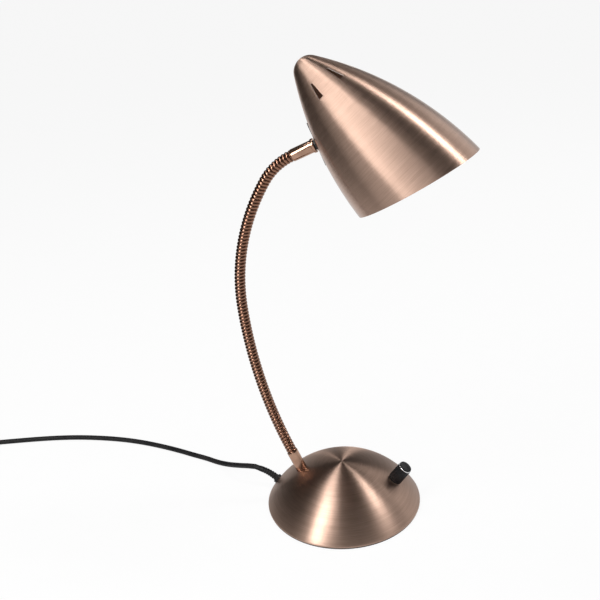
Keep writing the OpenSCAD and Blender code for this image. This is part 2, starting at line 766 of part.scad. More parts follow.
// Bent strip: one leg lies along the wall, the other crosses to the shade's axis
module holder_bracket() {
    tangent = [sin(wall_angle), cos(wall_angle)];
    inward = [-cos(wall_angle), sin(wall_angle)];
    wall_side = [joint_r, joint_t] + (shade_wall + bracket_gap) * inward;
    hold_side = wall_side + bracket_s * inward;
    corner = wall_side + tangent * (bracket_t - wall_side[1]) / tangent[1];
    inner_corner = hold_side + tangent * (bracket_t + bracket_s - hold_side[1]) / tangent[1];
    color(steel) difference() {
        in_shade() translate([0, bracket_w / 2, 0]) rotate([90, 0, 0]) linear_extrude(bracket_w)
            polygon([
                wall_side + bracket_foot * tangent, corner, [-bracket_foot, bracket_t],
                [-bracket_foot, bracket_t + bracket_s], inner_corner,
                hold_side + bracket_foot * tangent
            ]);
        at_joint() cylinder(d = nipple_d + slack, h = 10);
        in_shade() for (y = [-holder_screw_y, holder_screw_y]) translate([0, y, bracket_t - 1])
            cylinder(d = holder_screw_d + 0.9, h = 4);
    }
}

module head_nut() {
    from = shade_wall + bracket_gap + bracket_s + seat;
    color(steel) at_joint() translate([0, 0, from])
        hex_nut(nipple_nut_w, nipple_d + 2 * fit, nipple_nut_t - 0.5);
}

module lampholder() {
    color(white) in_shade() difference() {
        union() {
            translate([0, 0, holder_from]) cylinder(d = holder_d - holder_step, h = holder_l);
            translate([0, 0, holder_from + 10]) cylinder(d = holder_d, h = holder_l - 14);
        }
        translate([0, 0, holder_to - socket_l])
            cylinder(d = thread_d + 2 * thread_wall + 2 * seat, h = socket_l + 1);
        for (y = [-holder_screw_y, holder_screw_y]) translate([0, y, holder_from - 1])
            cylinder(d = holder_screw_d + 2 * fit, h = 7);
        translate([holder_d / 2 - 5, lead_side, lead_entry]) rotate([0, 90, 0])
            cylinder(d = 2 * lead_r + slack, h = 10);
    }
}

module thread_shell() {
    color(brass) in_shade() translate([0, 0, holder_to - socket_l + 3])
        tube(thread_d + 2 * thread_wall, thread_d, socket_l - 5);
}

module centre_contact() {
    color(brass) in_shade() {
        translate([-1.5, -5, holder_to - socket_l + seat]) cube([3, 10, 0.6]);
        translate([0, 0, holder_to - socket_l + seat]) cylinder(d = 4, h = contact_h);
    }
}

module holder_screws() {
    color(steel) in_shade() for (y = [-holder_screw_y, holder_screw_y])
        translate([0, y, bracket_t - seat]) rotate([180, 0, 0])
            pan_screw(holder_screw_d, 7, 4.6, 1.8);
}

module holder_lead() {
    inward = [-cos(wall_angle), 0, sin(wall_angle)];
    start = [joint_r, 0, joint_t] + (head_nipple_l + lead_out + seat) * inward;
    color(black) in_shade() route_tube(concat([start], spline([
        start + 1.5 * inward, start + [-5, 1.2, 0.8], start + [-7, 3, -2.4], start + [-7.6, 3.4, -7.5],
        [holder_d / 2 + 3, lead_side + 0.6, lead_entry + 1.2],
        [holder_d / 2 - 0.6, lead_side, lead_entry], [holder_d / 2 - 3.4, lead_side, lead_entry]
    ], 2)), lead_r, 8);
}

module bulb_glass() {
    ball_z = shoulder_z + bulb_l - bulb_d / 2;
    throat_r = cap_d / 2 - 0.3;
    flare_r = 0.4 * bulb_d;
    color(glass) in_shade() {
        translate([0, 0, ball_z]) sphere(d = bulb_d);
        translate([0, 0, shoulder_z + seat]) cylinder(r = throat_r, h = ball_z - shoulder_z);
        translate([0, 0, holder_to + 2])
            cylinder(r1 = throat_r, r2 = flare_r, h = ball_z - bulb_d * 0.3 - holder_to - 2);
    }
}

module bulb_cap() {
    color(brass) in_shade() {
        translate([0, 0, cap_z + 3]) cylinder(d = cap_d, h = cap_l - 3);
        translate([0, 0, cap_z]) cylinder(d1 = 6, d2 = cap_d - 2, h = 3);
    }
}

// ---- Cord, from the terminals to the plug ----

module cord_gland() {
    waist_d = flange_d - gland_waist - 2 * seat;
    steps = 5;
    path = [for (i = [0:steps]) sleeve_at(sleeve_l * i / steps)];
    root = [for (p = [path[0] - 1.2 * unit(path[1] - path[0])]) p];
    color(black) {
        difference() {
            on_dome(gland_r, gland_az) translate([0, 0, -1]) cylinder(d = flange_d, h = flange_t + 1);
            dome_ball(-seat);
        }
        on_dome(gland_r, gland_az) translate([0, 0, -base_wall - 1])
            cylinder(d = waist_d, h = 2 + base_wall);
        intersection() {
            on_dome(gland_r, gland_az) translate([0, 0, -base_wall - gland_in])
                cylinder(d = gland_lip_d, h = gland_in + 1);
            dome_ball(base_wall + seat);
        }
        route_tube(concat(root, path), [for (i = [-1:steps])
            sleeve_root - (sleeve_root - cord_r - sleeve_lip) * max(i, 0) / steps], 12);
    }
}

module inlet_lead() {
    from = base_wall + gland_in + seat;
    low_z = plate_top + cord_r + 0.1;
    root = [for (d = [from, from + 1])
        lead_point(gland_r - d * cos(gland_up), gland_z - d * sin(gland_up))];
    color(black) route_tube(concat([root[0]], spline([
        root[1], lead_point(gland_r - 5.4, low_z), lead_point(gland_r - 10, low_z),
        lead_point(gland_r - 16, low_z + 1), lead_point(clamp_r + 17, lead_z - 4.6),
        lead_point(clamp_r + 11, lead_z - 1.4), lead_point(clamp_r + 5, lead_z),
        lead_point(clamp_r, lead_z), lead_point(clamp_r - 5, lead_z),
        [-20, 16, lead_z], [-14, 21, lead_z], inlet_end
    ], 2)), cord_r - 0.1, 8);
}

// Saddle over the lead, held by two screws
module cord_clamp() {
    side = clamp_pitch + clamp_head_d / 2 + 0.6;
    groove = cord_r + slack / 2;
    color(white) translate([0, 0, weight_top + seat]) rotate([0, 0, gland_az])
        translate([clamp_r, 0, 0]) difference() {
            translate([-3.5, -side, 0]) cube([7, 2 * side, cord_d + 2.6]);
            translate([-4, 0, groove]) rotate([0, 90, 0]) cylinder(r = groove, h = 8);
            translate([-4, -groove, -1]) cube([8, 2 * groove, 1 + groove]);
            for (s = [-1, 1]) translate([0, clamp_pitch * s, -1])
                cylinder(d = clamp_screw_d + 0.6, h = 12);
            for (s = [-1, 1]) translate([0, clamp_pitch * s, clamp_floor])
                cylinder(d = clamp_head_d + slack, h = 12);
        }
}

module clamp_screws() {
    color(steel) for (p = clamp_holes) translate([p[0], p[1], weight_top + clamp_floor + 2 * seat])
        pan_screw(clamp_screw_d, clamp_floor + clamp_hole - 1, clamp_head_d, 2);
}

module terminal_block() {
    color(white) translate([block_c[0] - block_size[0] / 2, block_c[1] - block_size[1] / 2, block_z])
        difference() {
        cube(block_size);
        for (y = [4, 9, 14]) {
            translate([-1, y, 4]) rotate([0, 90, 0]) cylinder(d = 3, h = 19);
            translate([4, y, 5]) cylinder(d = 3.2, h = 5);
            translate([13, y, 5]) cylinder(d = 3.2, h = 5);
        }
    }
}

// Single wires between the terminals, the neck's lead and the switch
module base_wires() {
    tail = place(-foot_ferrule_l - lead_below - slack);
    neck_tail = [tail[0] * cos(neck_az), tail[0] * sin(neck_az), tail[1]];
    side = lug_side * [-sin(knob_az), cos(knob_az), 0];
    left = [block_c[0] - block_size[0] / 2 - 0.1, block_c[1], block_z + 4];
    right = left + [block_size[0] + 0.2, 0, 0];
    color(black) {
        route_tube(spline([neck_tail, neck_tail + [2, 0.4, -3], [-26, 12, 20.5], [-18, 21, 18],
            left + [-4, 4.6, 0.6], left + [0, 5, 0]], 2), 1.2, 8);
        route_tube(spline([lug + side, lug + side + [-4, 1, -0.4], [28, 8, 14.4], [18, 22, 14.8],
            right], 3), lug_wire_r, 8);
        route_tube(spline([lug - side, lug - side + [-4, 1, -0.4], [26, -2, 14.4], [16, 12, 14.8],
            right + [0, -5, 0]], 3), lug_wire_r, 8);
    }
}

module cord_run() {
    color(black) route_tube(concat(
        [sleeve_tip],
        spline(concat([sleeve_tip + cord_d * sleeve_dir], floor_route, [coil_start + [2 * cord_d, 0, 0]]), 2),
        [coil_start]), cord_r, 8);
}

// One unbroken tube: a straight start, the turns, and a straight lead to the plug
module cord_coil() {
    total = 2 * coil_turns * loop_rings;
    turns = [for (i = [0:total]) coil_point(360 * i / loop_rings)];
    last = turns[total];
    drop = last[2] - plug_z;
    tail = [for (x = [9, 15, 20.6, tail_l])
        [last[0] - x, last[1], last[2] - drop * min(1, max(0, (x - 9) / 11.6))]];
    color(black) route_tube(concat([coil_start], turns, tail), cord_r, 6);
}

// Least distance between points of the coil that are at least half a turn apart
coil_gap = min([for (i = [0:6:coil_end]) for (j = [i + 180:6:coil_end])
    norm(coil_point(i) - coil_point(j))]) - cord_d;
echo(coil_gap = coil_gap);

// Band round both layers of the coil
module coil_tie() {
    r0 = coil_inner - cord_r - tie_gap;
    r1 = coil_outer + cord_r + tie_gap;
    h = 2 * coil_z + coil_rise - 2 * fit;
    color(black) translate([coil_c[0], coil_c[1], fit]) rotate([0, 0, tie_angle])
        rotate([90, 0, 0]) translate([0, 0, -tie_w / 2]) linear_extrude(tie_w) difference() {
            translate([r0 - tie_t, 0]) square([r1 - r0 + 2 * tie_t, h]);
            translate([r0, tie_t]) square([r1 - r0, h - 2 * tie_t]);
        }
}

module plug_body() {
    color(black) at_plug() difference() {
        union() {
            cylinder(d1 = cord_d + 1.2, d2 = 9.6, h = relief_l + 2);
            intersection() {
                translate([-plug_t / 2, 0, relief_l]) rotate([90, 0, 90]) linear_extrude(plug_t)
                    for (s = [0, 1]) mirror([s, 0]) polygon(concat([[0, 0]], plug_half, [[0, plug_l]]));
                translate([0, 20, relief_l]) rotate([90, 0, 0]) linear_extrude(40)
                    polygon([[-4.8, 0], [4.8, 0], [plug_t / 2, 7], [plug_t / 2, plug_l - 1],
                        [plug_t / 2 - 1, plug_l], [1 - plug_t / 2, plug_l],
                        [-plug_t / 2, plug_l - 1], [-plug_t / 2, 7]]);
            }
            for (s = [-1, 1]) translate([0, s * pin_gap / 2, relief_l + plug_l - 1])
                cylinder(d = pin_d, h = pin_sleeve + 1);
        }
        for (s = [-1, 1]) translate([0, s * pin_gap / 2, relief_l + plug_l - pin_in])
            cylinder(d = pin_core_d + 2 * seat, h = pin_in + pin_sleeve + 2);
    }
}

module plug_pins() {
    color(steel) at_plug() for (s = [-1, 1]) translate([0, s * pin_gap / 2, relief_l + plug_l]) {
        translate([0, 0, seat - pin_in]) cylinder(d = pin_core_d, h = pin_in + pin_sleeve + 1);
        translate([0, 0, pin_sleeve + seat]) cylinder(d = pin_d, h = pin_l - pin_sleeve - pin_tip);
        translate([0, 0, pin_l - pin_tip + seat]) cylinder(d1 = pin_d, d2 = pin_d / 2, h = pin_tip);
    }
}

// ---- Nodes ----

base_shell();
foot_pad();
base_plate();
base_weight();
centre_pillar();
centre_screw();
foot_ferrule();
foot_nipple();
foot_washer();
foot_nut();
switch_body();
switch_nut();
knob_shaft();
knob_grip();
knob_ring();
knob_cap();
cord_gland();
inlet_lead();
cord_clamp();
clamp_screws();
terminal_block();
base_wires();
for (i = [1:stretches]) neck_stretch(i);
for (i = [1:stretches]) neck_lead(i);
head_ferrule();
collar_nut();
joint_bar();
head_nipple();
shade();
holder_bracket();
head_nut();
lampholder();
thread_shell();
centre_contact();
holder_screws();
holder_lead();
bulb_glass();
bulb_cap();
cord_run();
cord_coil();
coil_tie();
plug_body();
plug_pins();
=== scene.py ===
# %% [markdown]
# # A copper desk lamp
#
# The lamp has a spun dome foot with a black switch knob, a wound gooseneck and a bullet-shaped
# shade with a slanted rim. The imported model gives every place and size. This script makes the
# surfaces that a camera sees: brushed copper, wound wire, black plastic, porcelain and glass.

# %% Load the frame
import json
import math

import bmesh
import bpy
from mathutils import Matrix, Vector

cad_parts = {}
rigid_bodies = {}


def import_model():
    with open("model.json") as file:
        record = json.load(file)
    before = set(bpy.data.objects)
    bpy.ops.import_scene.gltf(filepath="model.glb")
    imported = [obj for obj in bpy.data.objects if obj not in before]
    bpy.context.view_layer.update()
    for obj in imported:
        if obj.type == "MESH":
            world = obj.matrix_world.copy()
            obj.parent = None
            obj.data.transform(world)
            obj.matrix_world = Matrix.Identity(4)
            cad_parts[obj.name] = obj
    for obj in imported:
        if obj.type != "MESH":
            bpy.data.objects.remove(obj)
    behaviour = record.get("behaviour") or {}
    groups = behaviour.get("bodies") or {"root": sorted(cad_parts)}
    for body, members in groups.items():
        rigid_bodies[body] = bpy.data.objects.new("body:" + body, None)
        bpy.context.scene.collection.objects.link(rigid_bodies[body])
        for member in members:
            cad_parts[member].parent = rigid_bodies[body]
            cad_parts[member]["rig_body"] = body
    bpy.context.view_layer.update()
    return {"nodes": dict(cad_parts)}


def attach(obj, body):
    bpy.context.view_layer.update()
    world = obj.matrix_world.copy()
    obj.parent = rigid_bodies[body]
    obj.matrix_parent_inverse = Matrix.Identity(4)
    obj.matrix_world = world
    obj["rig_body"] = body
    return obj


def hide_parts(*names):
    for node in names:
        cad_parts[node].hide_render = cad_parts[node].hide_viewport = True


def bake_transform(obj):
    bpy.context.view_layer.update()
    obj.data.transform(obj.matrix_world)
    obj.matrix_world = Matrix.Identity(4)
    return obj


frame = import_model()
scene = bpy.context.scene
scene.view_settings.view_transform = "Standard"

# %% [markdown]
# ## Camera
#
# A camera's matrix holds its right, up and backward directions as columns, and its place as the
# last one. Writing them out fixes the slight roll of the photograph, which a camera aimed with a
# track constraint would lose. The lens is a normal one, 51 mm on a full-size sensor.

# %% Camera
right = Vector((0.99729, -0.02916, -0.0676))
up = Vector((0.07362, 0.39503, 0.91571))
back = right.cross(up)
eye = Vector((-0.02895, -0.69710, 0.51976))
camera = bpy.data.objects.new("camera", bpy.data.cameras.new("camera"))
camera.data.lens = 51.0
camera.data.sensor_width = 36.0
camera.matrix_world = Matrix((right, up, back)).transposed().to_4x4()
camera.matrix_world.translation = eye
scene.collection.objects.link(camera)
scene.camera = camera
print("the camera stands", round(eye.length, 3), "m from the foot's centre")

# %% [markdown]
# ## Places on the lamp
#
# Each group of pieces has its own frame: the dome's surface at a given spot, the neck's centre
# line, and the shade's axis. A 4x4 matrix for each frame lets a piece be modelled upright at the
# origin and then set in place, with its object still at the origin and unturned.

# %% Frames on the dome
foot_r = 0.075
dome_rise = 0.042
pad_t = 0.0015
edge_z = 0.003
dome_r = (foot_r ** 2 + dome_rise ** 2) / (2 * dome_rise)
dome_zc = edge_z + dome_rise - dome_r


def turned_z(degrees):
    return Matrix.Rotation(math.radians(degrees), 4, "Z")


def turned_y(degrees):
    return Matrix.Rotation(math.radians(degrees), 4, "Y")


def dome_height(r):
    """Height of the dome's outside at a distance r from its centre."""
    return dome_zc + math.sqrt(dome_r ** 2 - r ** 2)


def on_dome(r, heading):
    """Frame that stands on the dome, its Z along the surface's normal."""
    tilt = math.degrees(math.asin(r / dome_r))
    return turned_z(heading) @ Matrix.Translation((r, 0, dome_height(r))) @ turned_y(tilt)


print("the dome is part of a ball of radius", round(dome_r, 4), "m")

# %% Frames along the neck
neck_heading = -12
neck_lean = 22.5
ferrule_l = 0.021
neck_arcs = [(0.475, 19), (0.200, 36), (0.057, 34.5)]
neck_foot_r = 0.0405
neck_l = sum(radius * math.radians(angle) for radius, angle in neck_arcs)


def neck_frame(u):
    """Frame on the neck's centre line, u metres past the foot's ferrule, its Z along the neck."""
    lean = math.radians(-neck_lean)
    along = Vector((math.sin(lean), 0, math.cos(lean)))
    point = Vector((-neck_foot_r, 0, dome_height(neck_foot_r))) + along * (ferrule_l + min(u, 0))
    left = max(u, 0)
    for radius, angle in neck_arcs:
        turn = min(left / radius, math.radians(angle))
        point += radius * Vector((math.cos(lean) - math.cos(lean + turn), 0,
                                  math.sin(lean + turn) - math.sin(lean)))
        lean += turn
        left -= turn * radius
    point += max(left, 0) * Vector((math.sin(lean), 0, math.cos(lean)))
    return turned_z(neck_heading) @ Matrix.Translation(point) @ turned_y(math.degrees(lean))


print("the gooseneck is", round(neck_l, 4), "m long between its ferrules")

# %% Frames in the head
head_ferrule_l = 0.0192
collar_t = 0.0024
joint_reach = head_ferrule_l + collar_t + 0.0014 + 0.0008
shade_l = 0.139
nose_r = 0.0137
nose_angle = math.radians(32)
side_r = 0.284
shade_wall = 0.0009
joint_t = 0.058
nose_end = Vector((nose_r * math.cos(nose_angle), nose_r * (1 - math.sin(nose_angle))))
side_centre = nose_end + side_r * Vector((-math.cos(nose_angle), math.sin(nose_angle)))


def shade_radius(t, inset=0.0):
    """Radius of the shade's side at t metres from its tip."""
    return side_centre.x + math.sqrt((side_r - inset) ** 2 - (t - side_centre.y) ** 2)


wall_angle = math.degrees(math.asin((side_centre.y - joint_t) / side_r))
neck_end = neck_frame(neck_l)
at_joint = neck_end @ Matrix.Translation((0, 0, joint_reach)) @ turned_z(-7)
in_shade = (at_joint @ turned_y(90 - wall_angle)
            @ Matrix.Translation((-shade_radius(joint_t), 0, -joint_t)))
print("the shade's tip is at", [round(c, 4) for c in in_shade.translation])

# %% [markdown]
# ## Nodes with less typing
#
# Shaders and Geometry Nodes are both trees of nodes. Two small helpers keep them readable: `add`
# makes a node and feeds its inputs, and `calc` is a math node that returns its answer.

# %% Node helpers
def add(tree, kind, inputs=(), **settings):
    """A node with its options set and its inputs fed by numbers or by other nodes' outputs."""
    made = tree.nodes.new(kind)
    for name, value in settings.items():
        setattr(made, name, value)
    for key, value in dict(inputs).items():
        if isinstance(value, bpy.types.NodeSocket):
            tree.links.new(value, made.inputs[key])
        else:
            made.inputs[key].default_value = value
    return made


def calc(tree, operation, *values):
    """The answer of a math node."""
    return add(tree, "ShaderNodeMath", enumerate(values), operation=operation).outputs[0]


def new_finish(name, **numbers):
    """A material whose Principled shader starts with these plain numbers."""
    material = bpy.data.materials.new(name)
    material.use_nodes = True
    shader = material.node_tree.nodes["Principled BSDF"]
    for socket, value in numbers.items():
        shader.inputs[socket.replace("_", " ")].default_value = value
    return material, material.node_tree, shader


def speckle(tree, scale, detail=4.0, roughness=0.5, vector=None):
    """Noise over the object's own coordinates, or over a vector made by other nodes."""
    if vector is None:
        vector = add(tree, "ShaderNodeTexCoord").outputs["Object"]
    made = add(tree, "ShaderNodeTexNoise",
               {"Vector": vector, "Scale": scale, "Detail": detail, "Roughness": roughness})
    return made.outputs[0]


def between(tree, amount, low, high):
    """Maps 0..1 noise to a range of numbers, or to a mix of two colours."""
    if isinstance(low, tuple):
        ramp = add(tree, "ShaderNodeValToRGB", {"Fac": amount})
        ramp.color_ramp.elements[0].color = (*low, 1)
        ramp.color_ramp.elements[1].color = (*high, 1)
        ramp.color_ramp.elements[0].position = 0.3
        ramp.color_ramp.elements[1].position = 0.7
        return ramp.outputs["Color"]
    return add(tree, "ShaderNodeMapRange",
               {"Value": amount, "From Min": 0.3, "From Max": 0.7,
                "To Min": low, "To Max": high}).outputs["Result"]


def vary(tree, shader, socket, amount, low, high):
    """Lets noise move one of the shader's inputs over a range."""
    tree.links.new(between(tree, amount, low, high), shader.inputs[socket])


def raise_surface(tree, shader, height, distance):
    """Feeds the shader a bumped normal."""
    bump = add(tree, "ShaderNodeBump", {"Height": height, "Distance": distance, "Strength": 1.0})
    tree.links.new(bump.outputs["Normal"], shader.inputs["Normal"])


print("node helpers ready")

# %% [markdown]
# ## Black cord
#
# The mains cord is soft PVC, so it is a curve with a round bevel and not a row of cylinders. It
# leaves the gland, sinks to the floor and runs off to the left. The rest of its length lies
# wound up out of the camera's view, in and out again in two layers of three and a half turns.
# A Catmull-Rom curve through listed points gives the run its loose sweep.

# %% Cord's route
cord_d = 0.0054
gland_heading = 154
gland_z = 0.008
gland_r = math.sqrt(dome_r ** 2 - (gland_z - dome_zc) ** 2)
flange_top = 0.0024
droop = 0.040
coil_centre = Vector((-0.470, 0.110))
coil_turns = 3.5
coil_step = 0.006
coil_inner = 0.0216
coil_low = 0.0032
run_points = [
    (-0.095, 0.047, 0.016), (-0.102, 0.0525, 0.0132), (-0.109, 0.059, 0.0099),
    (-0.116, 0.0655, 0.0068), (-0.124, 0.0725, 0.0042), (-0.132, 0.079, 0.0028),
    (-0.143, 0.087, 0.0025), (-0.158, 0.096, 0.0025), (-0.176, 0.107, 0.0025),
    (-0.196, 0.118, 0.0025), (-0.218, 0.1285, 0.0025), (-0.242, 0.1375, 0.0025),
    (-0.268, 0.1445, 0.0025), (-0.295, 0.1495, 0.0025), (-0.322, 0.152, 0.0025),
    (-0.349, 0.1525, 0.0025), (-0.376, 0.152, 0.0025), (-0.402, 0.1515, 0.0025),
    (-0.426, 0.152, 0.0027),
]


def sleeve_point(x):
    """Centre of the gland's sleeve at x metres from its flange: it droops on a 40 mm radius."""
    start = math.radians(90) - math.asin(gland_r / dome_r)
    pitch = start - x / droop
    out = gland_r + flange_top * math.cos(start) + droop * (math.sin(start) - math.sin(pitch))
    height = gland_z + flange_top * math.sin(start) + droop * (math.cos(pitch) - math.cos(start))
    return turned_z(gland_heading) @ Vector((out, 0, height))


def coil_point(turn):
    """A point of the coil: the turns shrink, climb one diameter, and grow again."""
    radius = coil_inner + coil_step * abs(turn - coil_turns)
    angle = math.radians(90 + 360 * turn)
    climb = coil_step * min(1, max(0, (turn - coil_turns) * 2 + 0.5))
    return Vector((coil_centre.x + radius * math.cos(angle),
                   coil_centre.y + radius * math.sin(angle), coil_low + climb))


def through(points, steps):
    """Catmull-Rom curve through the points."""
    made = []
    for i in range(len(points) - 1):
        p0, p1 = points[max(i - 1, 0)], points[i]
        p2, p3 = points[i + 1], points[min(i + 2, len(points) - 1)]
        for j in range(steps):
            t = j / steps
            made.append(0.5 * (2 * p1 + (p2 - p0) * t + (2 * p0 - 5 * p1 + 4 * p2 - p3) * t * t
                               + (3 * p1 - p0 - 3 * p2 + p3) * t ** 3))
    return made + [points[-1]]


sleeve_l = 0.020
sleeve_tip = sleeve_point(sleeve_l)
sleeve_dir = (sleeve_tip - sleeve_point(sleeve_l * 0.8)).normalized()
coil_start = coil_point(0) + Vector((cord_d, 0, 0))
run = through([sleeve_tip + cord_d * sleeve_dir, *map(Vector, run_points),
               coil_start + Vector((2 * cord_d, 0, 0))], 4)
turn_points = 48
turns = [coil_point(i / turn_points) for i in range(int(2 * coil_turns * turn_points) + 1)]
plug_z = 0.00685
fall = turns[-1].z - plug_z
tail_start, tail_fall, tail_l = 0.009, 0.0116, 0.026
tail = [turns[-1] - Vector((x, 0, fall * min(1, max(0, (x - tail_start) / tail_fall))))
        for x in (tail_start, 0.012, 0.015, 0.018, 0.0206, tail_l)]
route = [sleeve_tip, *run, coil_start, *turns, *tail]

# %% [markdown]
# Moulded PVC is nearly black, a little glossy, and never quite even. Two noises, one fine and
# one broad, drive its roughness and its bump. The same finish serves the inner leads.

# %% Cord's finish and curve
cord_black, tree, shader = new_finish("cord_black_pvc", Specular_IOR_Level=0.12)
grain = speckle(tree, 900, 3)
patch = speckle(tree, 60, 2)
vary(tree, shader, "Base Color", patch, (0.008, 0.008, 0.009), (0.020, 0.019, 0.019))
vary(tree, shader, "Roughness", grain, 0.32, 0.48)
raise_surface(tree, shader, grain, 0.00006)


def tube_curve(name, points, diameter, finish, sides=4):
    """A round cord along the points: a curve with one open spline and a bevel."""
    data = bpy.data.curves.new(name, "CURVE")
    data.dimensions = "3D"
    data.bevel_depth = diameter / 2
    data.bevel_resolution = sides
    data.use_fill_caps = True
    spline = data.splines.new("POLY")
    spline.points.add(len(points) - 1)
    for slot, point in zip(spline.points, points):
        slot.co = (*point, 1)
    data.materials.append(finish)
    made = bpy.data.objects.new(name, data)
    scene.collection.objects.link(made)
    return made


cord = tube_curve("mains_cord", route, cord_d, cord_black)
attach(cord, "base")
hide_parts("cord_run", "cord_coil")
print("the cord's curve has", len(route), "points")

# %% [markdown]
# ## Turned pieces
#
# Most pieces of a lamp are turned or spun: dome, shade, ferrules, nut, knob, bulb. One function
# revolves an outline. It also writes a UV map called "spin": U runs along the outline in metres
# and V once round the axis. Brushed metal needs that map, because its marks run round the axis.
# Corners get a small fillet, since a real edge always catches a line of light.

# %% Lathe
sharp_angle = 35


def filleted(outline, steps=4):
    """Rounds each (r, t, fillet) corner of an outline; two numbers mean a sharp corner."""
    made = []
    for i, corner in enumerate(outline):
        here = Vector(corner[:2])
        fillet = corner[2] if len(corner) > 2 else 0
        if not fillet or i in (0, len(outline) - 1):
            made.append(here)
            continue
        before = Vector(outline[i - 1][:2]) - here
        after = Vector(outline[i + 1][:2]) - here
        reach = min(fillet, before.length * 0.45, after.length * 0.45)
        a, b = here + before.normalized() * reach, here + after.normalized() * reach
        for k in range(steps + 1):
            s = k / steps
            made.append(a * (1 - s) ** 2 + here * 2 * s * (1 - s) + b * s * s)
    return made


def net_mesh(name, rows, closed_rows, lengths):
    """A mesh through rings of points, with the spin map. A ring of one point is a pole."""
    made = bmesh.new()
    spin = made.loops.layers.uv.new("spin")
    rings = [[made.verts.new(p) for p in row] for row in rows]
    steps = max(len(row) for row in rows)
    pairs = list(zip(range(len(rows)), range(1, len(rows)))) + ([(len(rows) - 1, 0)] if closed_rows else [])
    for i, j in pairs:
        low, high = lengths[i], lengths[j] if j else lengths[-1]
        for k in range(steps):
            m = (k + 1) % steps
            corners = [(rings[i], k, low, k), (rings[i], m, low, k + 1),
                       (rings[j], m, high, k + 1), (rings[j], k, high, k)]
            face = [(ring[n if len(ring) > 1 else 0], length, v) for ring, n, length, v in corners]
            if len(rings[i]) == 1:
                face = [(face[0][0], low, k + 0.5), face[2], face[3]]
            elif len(rings[j]) == 1:
                face = [face[0], face[1], (face[2][0], high, k + 0.5)]
            made_face = made.faces.new([f[0] for f in face])
            made_face.smooth = True
            for loop, (_, length, v) in zip(made_face.loops, face):
                loop[spin].uv = (length, v / steps)
    mesh = bpy.data.meshes.new(name)
    made.to_mesh(mesh)
    made.free()
    return mesh


def as_object(name, mesh, place=None, finishes=(), sharp=sharp_angle):
    """Puts a mesh in the lamp's frame and in the scene, with its normals outward."""
    if place is not None:
        mesh.transform(place)
    shell = bmesh.new()
    shell.from_mesh(mesh)
    bmesh.ops.recalc_face_normals(shell, faces=shell.faces)
    if shell.calc_volume(signed=True) < 0:
        bmesh.ops.reverse_faces(shell, faces=shell.faces)
    shell.to_mesh(mesh)
    shell.free()
    mesh.set_sharp_from_angle(angle=math.radians(sharp))
    for finish in finishes:
        mesh.materials.append(finish)
    made = bpy.data.objects.new(name, mesh)
    scene.collection.objects.link(made)
    return made


def lathe(name, outline, place, finish, steps=96, loop=False, sharp=sharp_angle):
    """Revolves an outline round Z. With loop=True the outline closes on itself, as in a ring."""
    points = filleted(outline)
    if loop:
        points = points[:-1]
    rows = [[(0, 0, p.y)] if p.x < 1e-6 else
            [(p.x * math.cos(2 * math.pi * k / steps), p.x * math.sin(2 * math.pi * k / steps), p.y)
             for k in range(steps)] for p in points]
    lengths = [0.0]
    for a, b in zip(points, points[1:] + points[:1]):
        lengths.append(lengths[-1] + (b - a).length)
    return as_object(name, net_mesh(name, rows, loop, lengths), place, [finish], sharp)


def belongs(piece, body, slot, *nodes):
    """Says which body a piece rides on and hides the CAD nodes it stands for. Its finish slot is not used."""
    if piece.parent is None and "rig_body" not in piece:
        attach(piece, body)
    if nodes:
        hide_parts(*nodes)
    return piece


print("lathe ready")

# %% [markdown]
# ## Brushed copper
#
# Dome and shade are spun from copper-plated sheet and brushed while they turn. The marks are fine
# rings, so light spreads across them, along the outline: bands of light fan out from the apex.
# The shader's Anisotropic value does that, with the tangent taken from the spin map's U. The
# rings themselves are noise squeezed hard along U. V enters as a sine and cosine, which
# leaves no seam where the map closes.

# %% Brushed copper
def ring_vector(tree, along, around):
    """Coordinates for noise that runs in rings round the axis, from the spin map."""
    split = add(tree, "ShaderNodeSeparateXYZ",
                {"Vector": add(tree, "ShaderNodeUVMap", uv_map="spin").outputs["UV"]})
    angle = calc(tree, "MULTIPLY", split.outputs["Y"], 2 * math.pi)
    return add(tree, "ShaderNodeCombineXYZ", {
        "X": calc(tree, "MULTIPLY", split.outputs["X"], along),
        "Y": calc(tree, "MULTIPLY", calc(tree, "COSINE", angle), around),
        "Z": calc(tree, "MULTIPLY", calc(tree, "SINE", angle), around)}).outputs["Vector"]


def follow_spin(tree, shader):
    """Lays the shader's stretched highlights along the spin map's U."""
    tangent = add(tree, "ShaderNodeTangent", direction_type="UV_MAP", uv_map="spin")
    tree.links.new(tangent.outputs["Tangent"], shader.inputs["Tangent"])


def brushed_copper(name, dark, pale, low, high, spread, marks=1.0):
    """Spun and brushed copper: colour, roughness and bump all follow the same ring marks."""
    material, tree, shader = new_finish(name, Metallic=1.0, Anisotropic=spread)
    fine = speckle(tree, 1.0, 5, 0.65, ring_vector(tree, 2600, 2.2))
    broad = speckle(tree, 1.0, 3, 0.5, ring_vector(tree, 420, 1.4))
    stain = speckle(tree, 16, 3)
    mixed = calc(tree, "ADD", calc(tree, "MULTIPLY", fine, 0.60),
                 calc(tree, "ADD", calc(tree, "MULTIPLY", broad, 0.22),
                      calc(tree, "MULTIPLY", stain, 0.18)))
    vary(tree, shader, "Base Color", mixed, dark, pale)
    vary(tree, shader, "Roughness", fine, low, high)
    follow_spin(tree, shader)
    raise_surface(tree, shader, fine, 0.000012 * marks)
    return material


copper_sheet = brushed_copper("brushed_copper_sheet", (0.31, 0.205, 0.158), (0.54, 0.372, 0.292),
                              0.32, 0.48, 0.92, 0.5)
print("brushed copper ready")

# %% [markdown]
# ## Dome of the foot
#
# The dome is a cap of a ball with a short straight edge. Its outline is drawn once as an arc down
# the outside and back up the inside, then revolved. The three holes under neck, knob and gland
# are cut with a boolean, as a press would punch them.

# %% Dome
wall = 0.0012


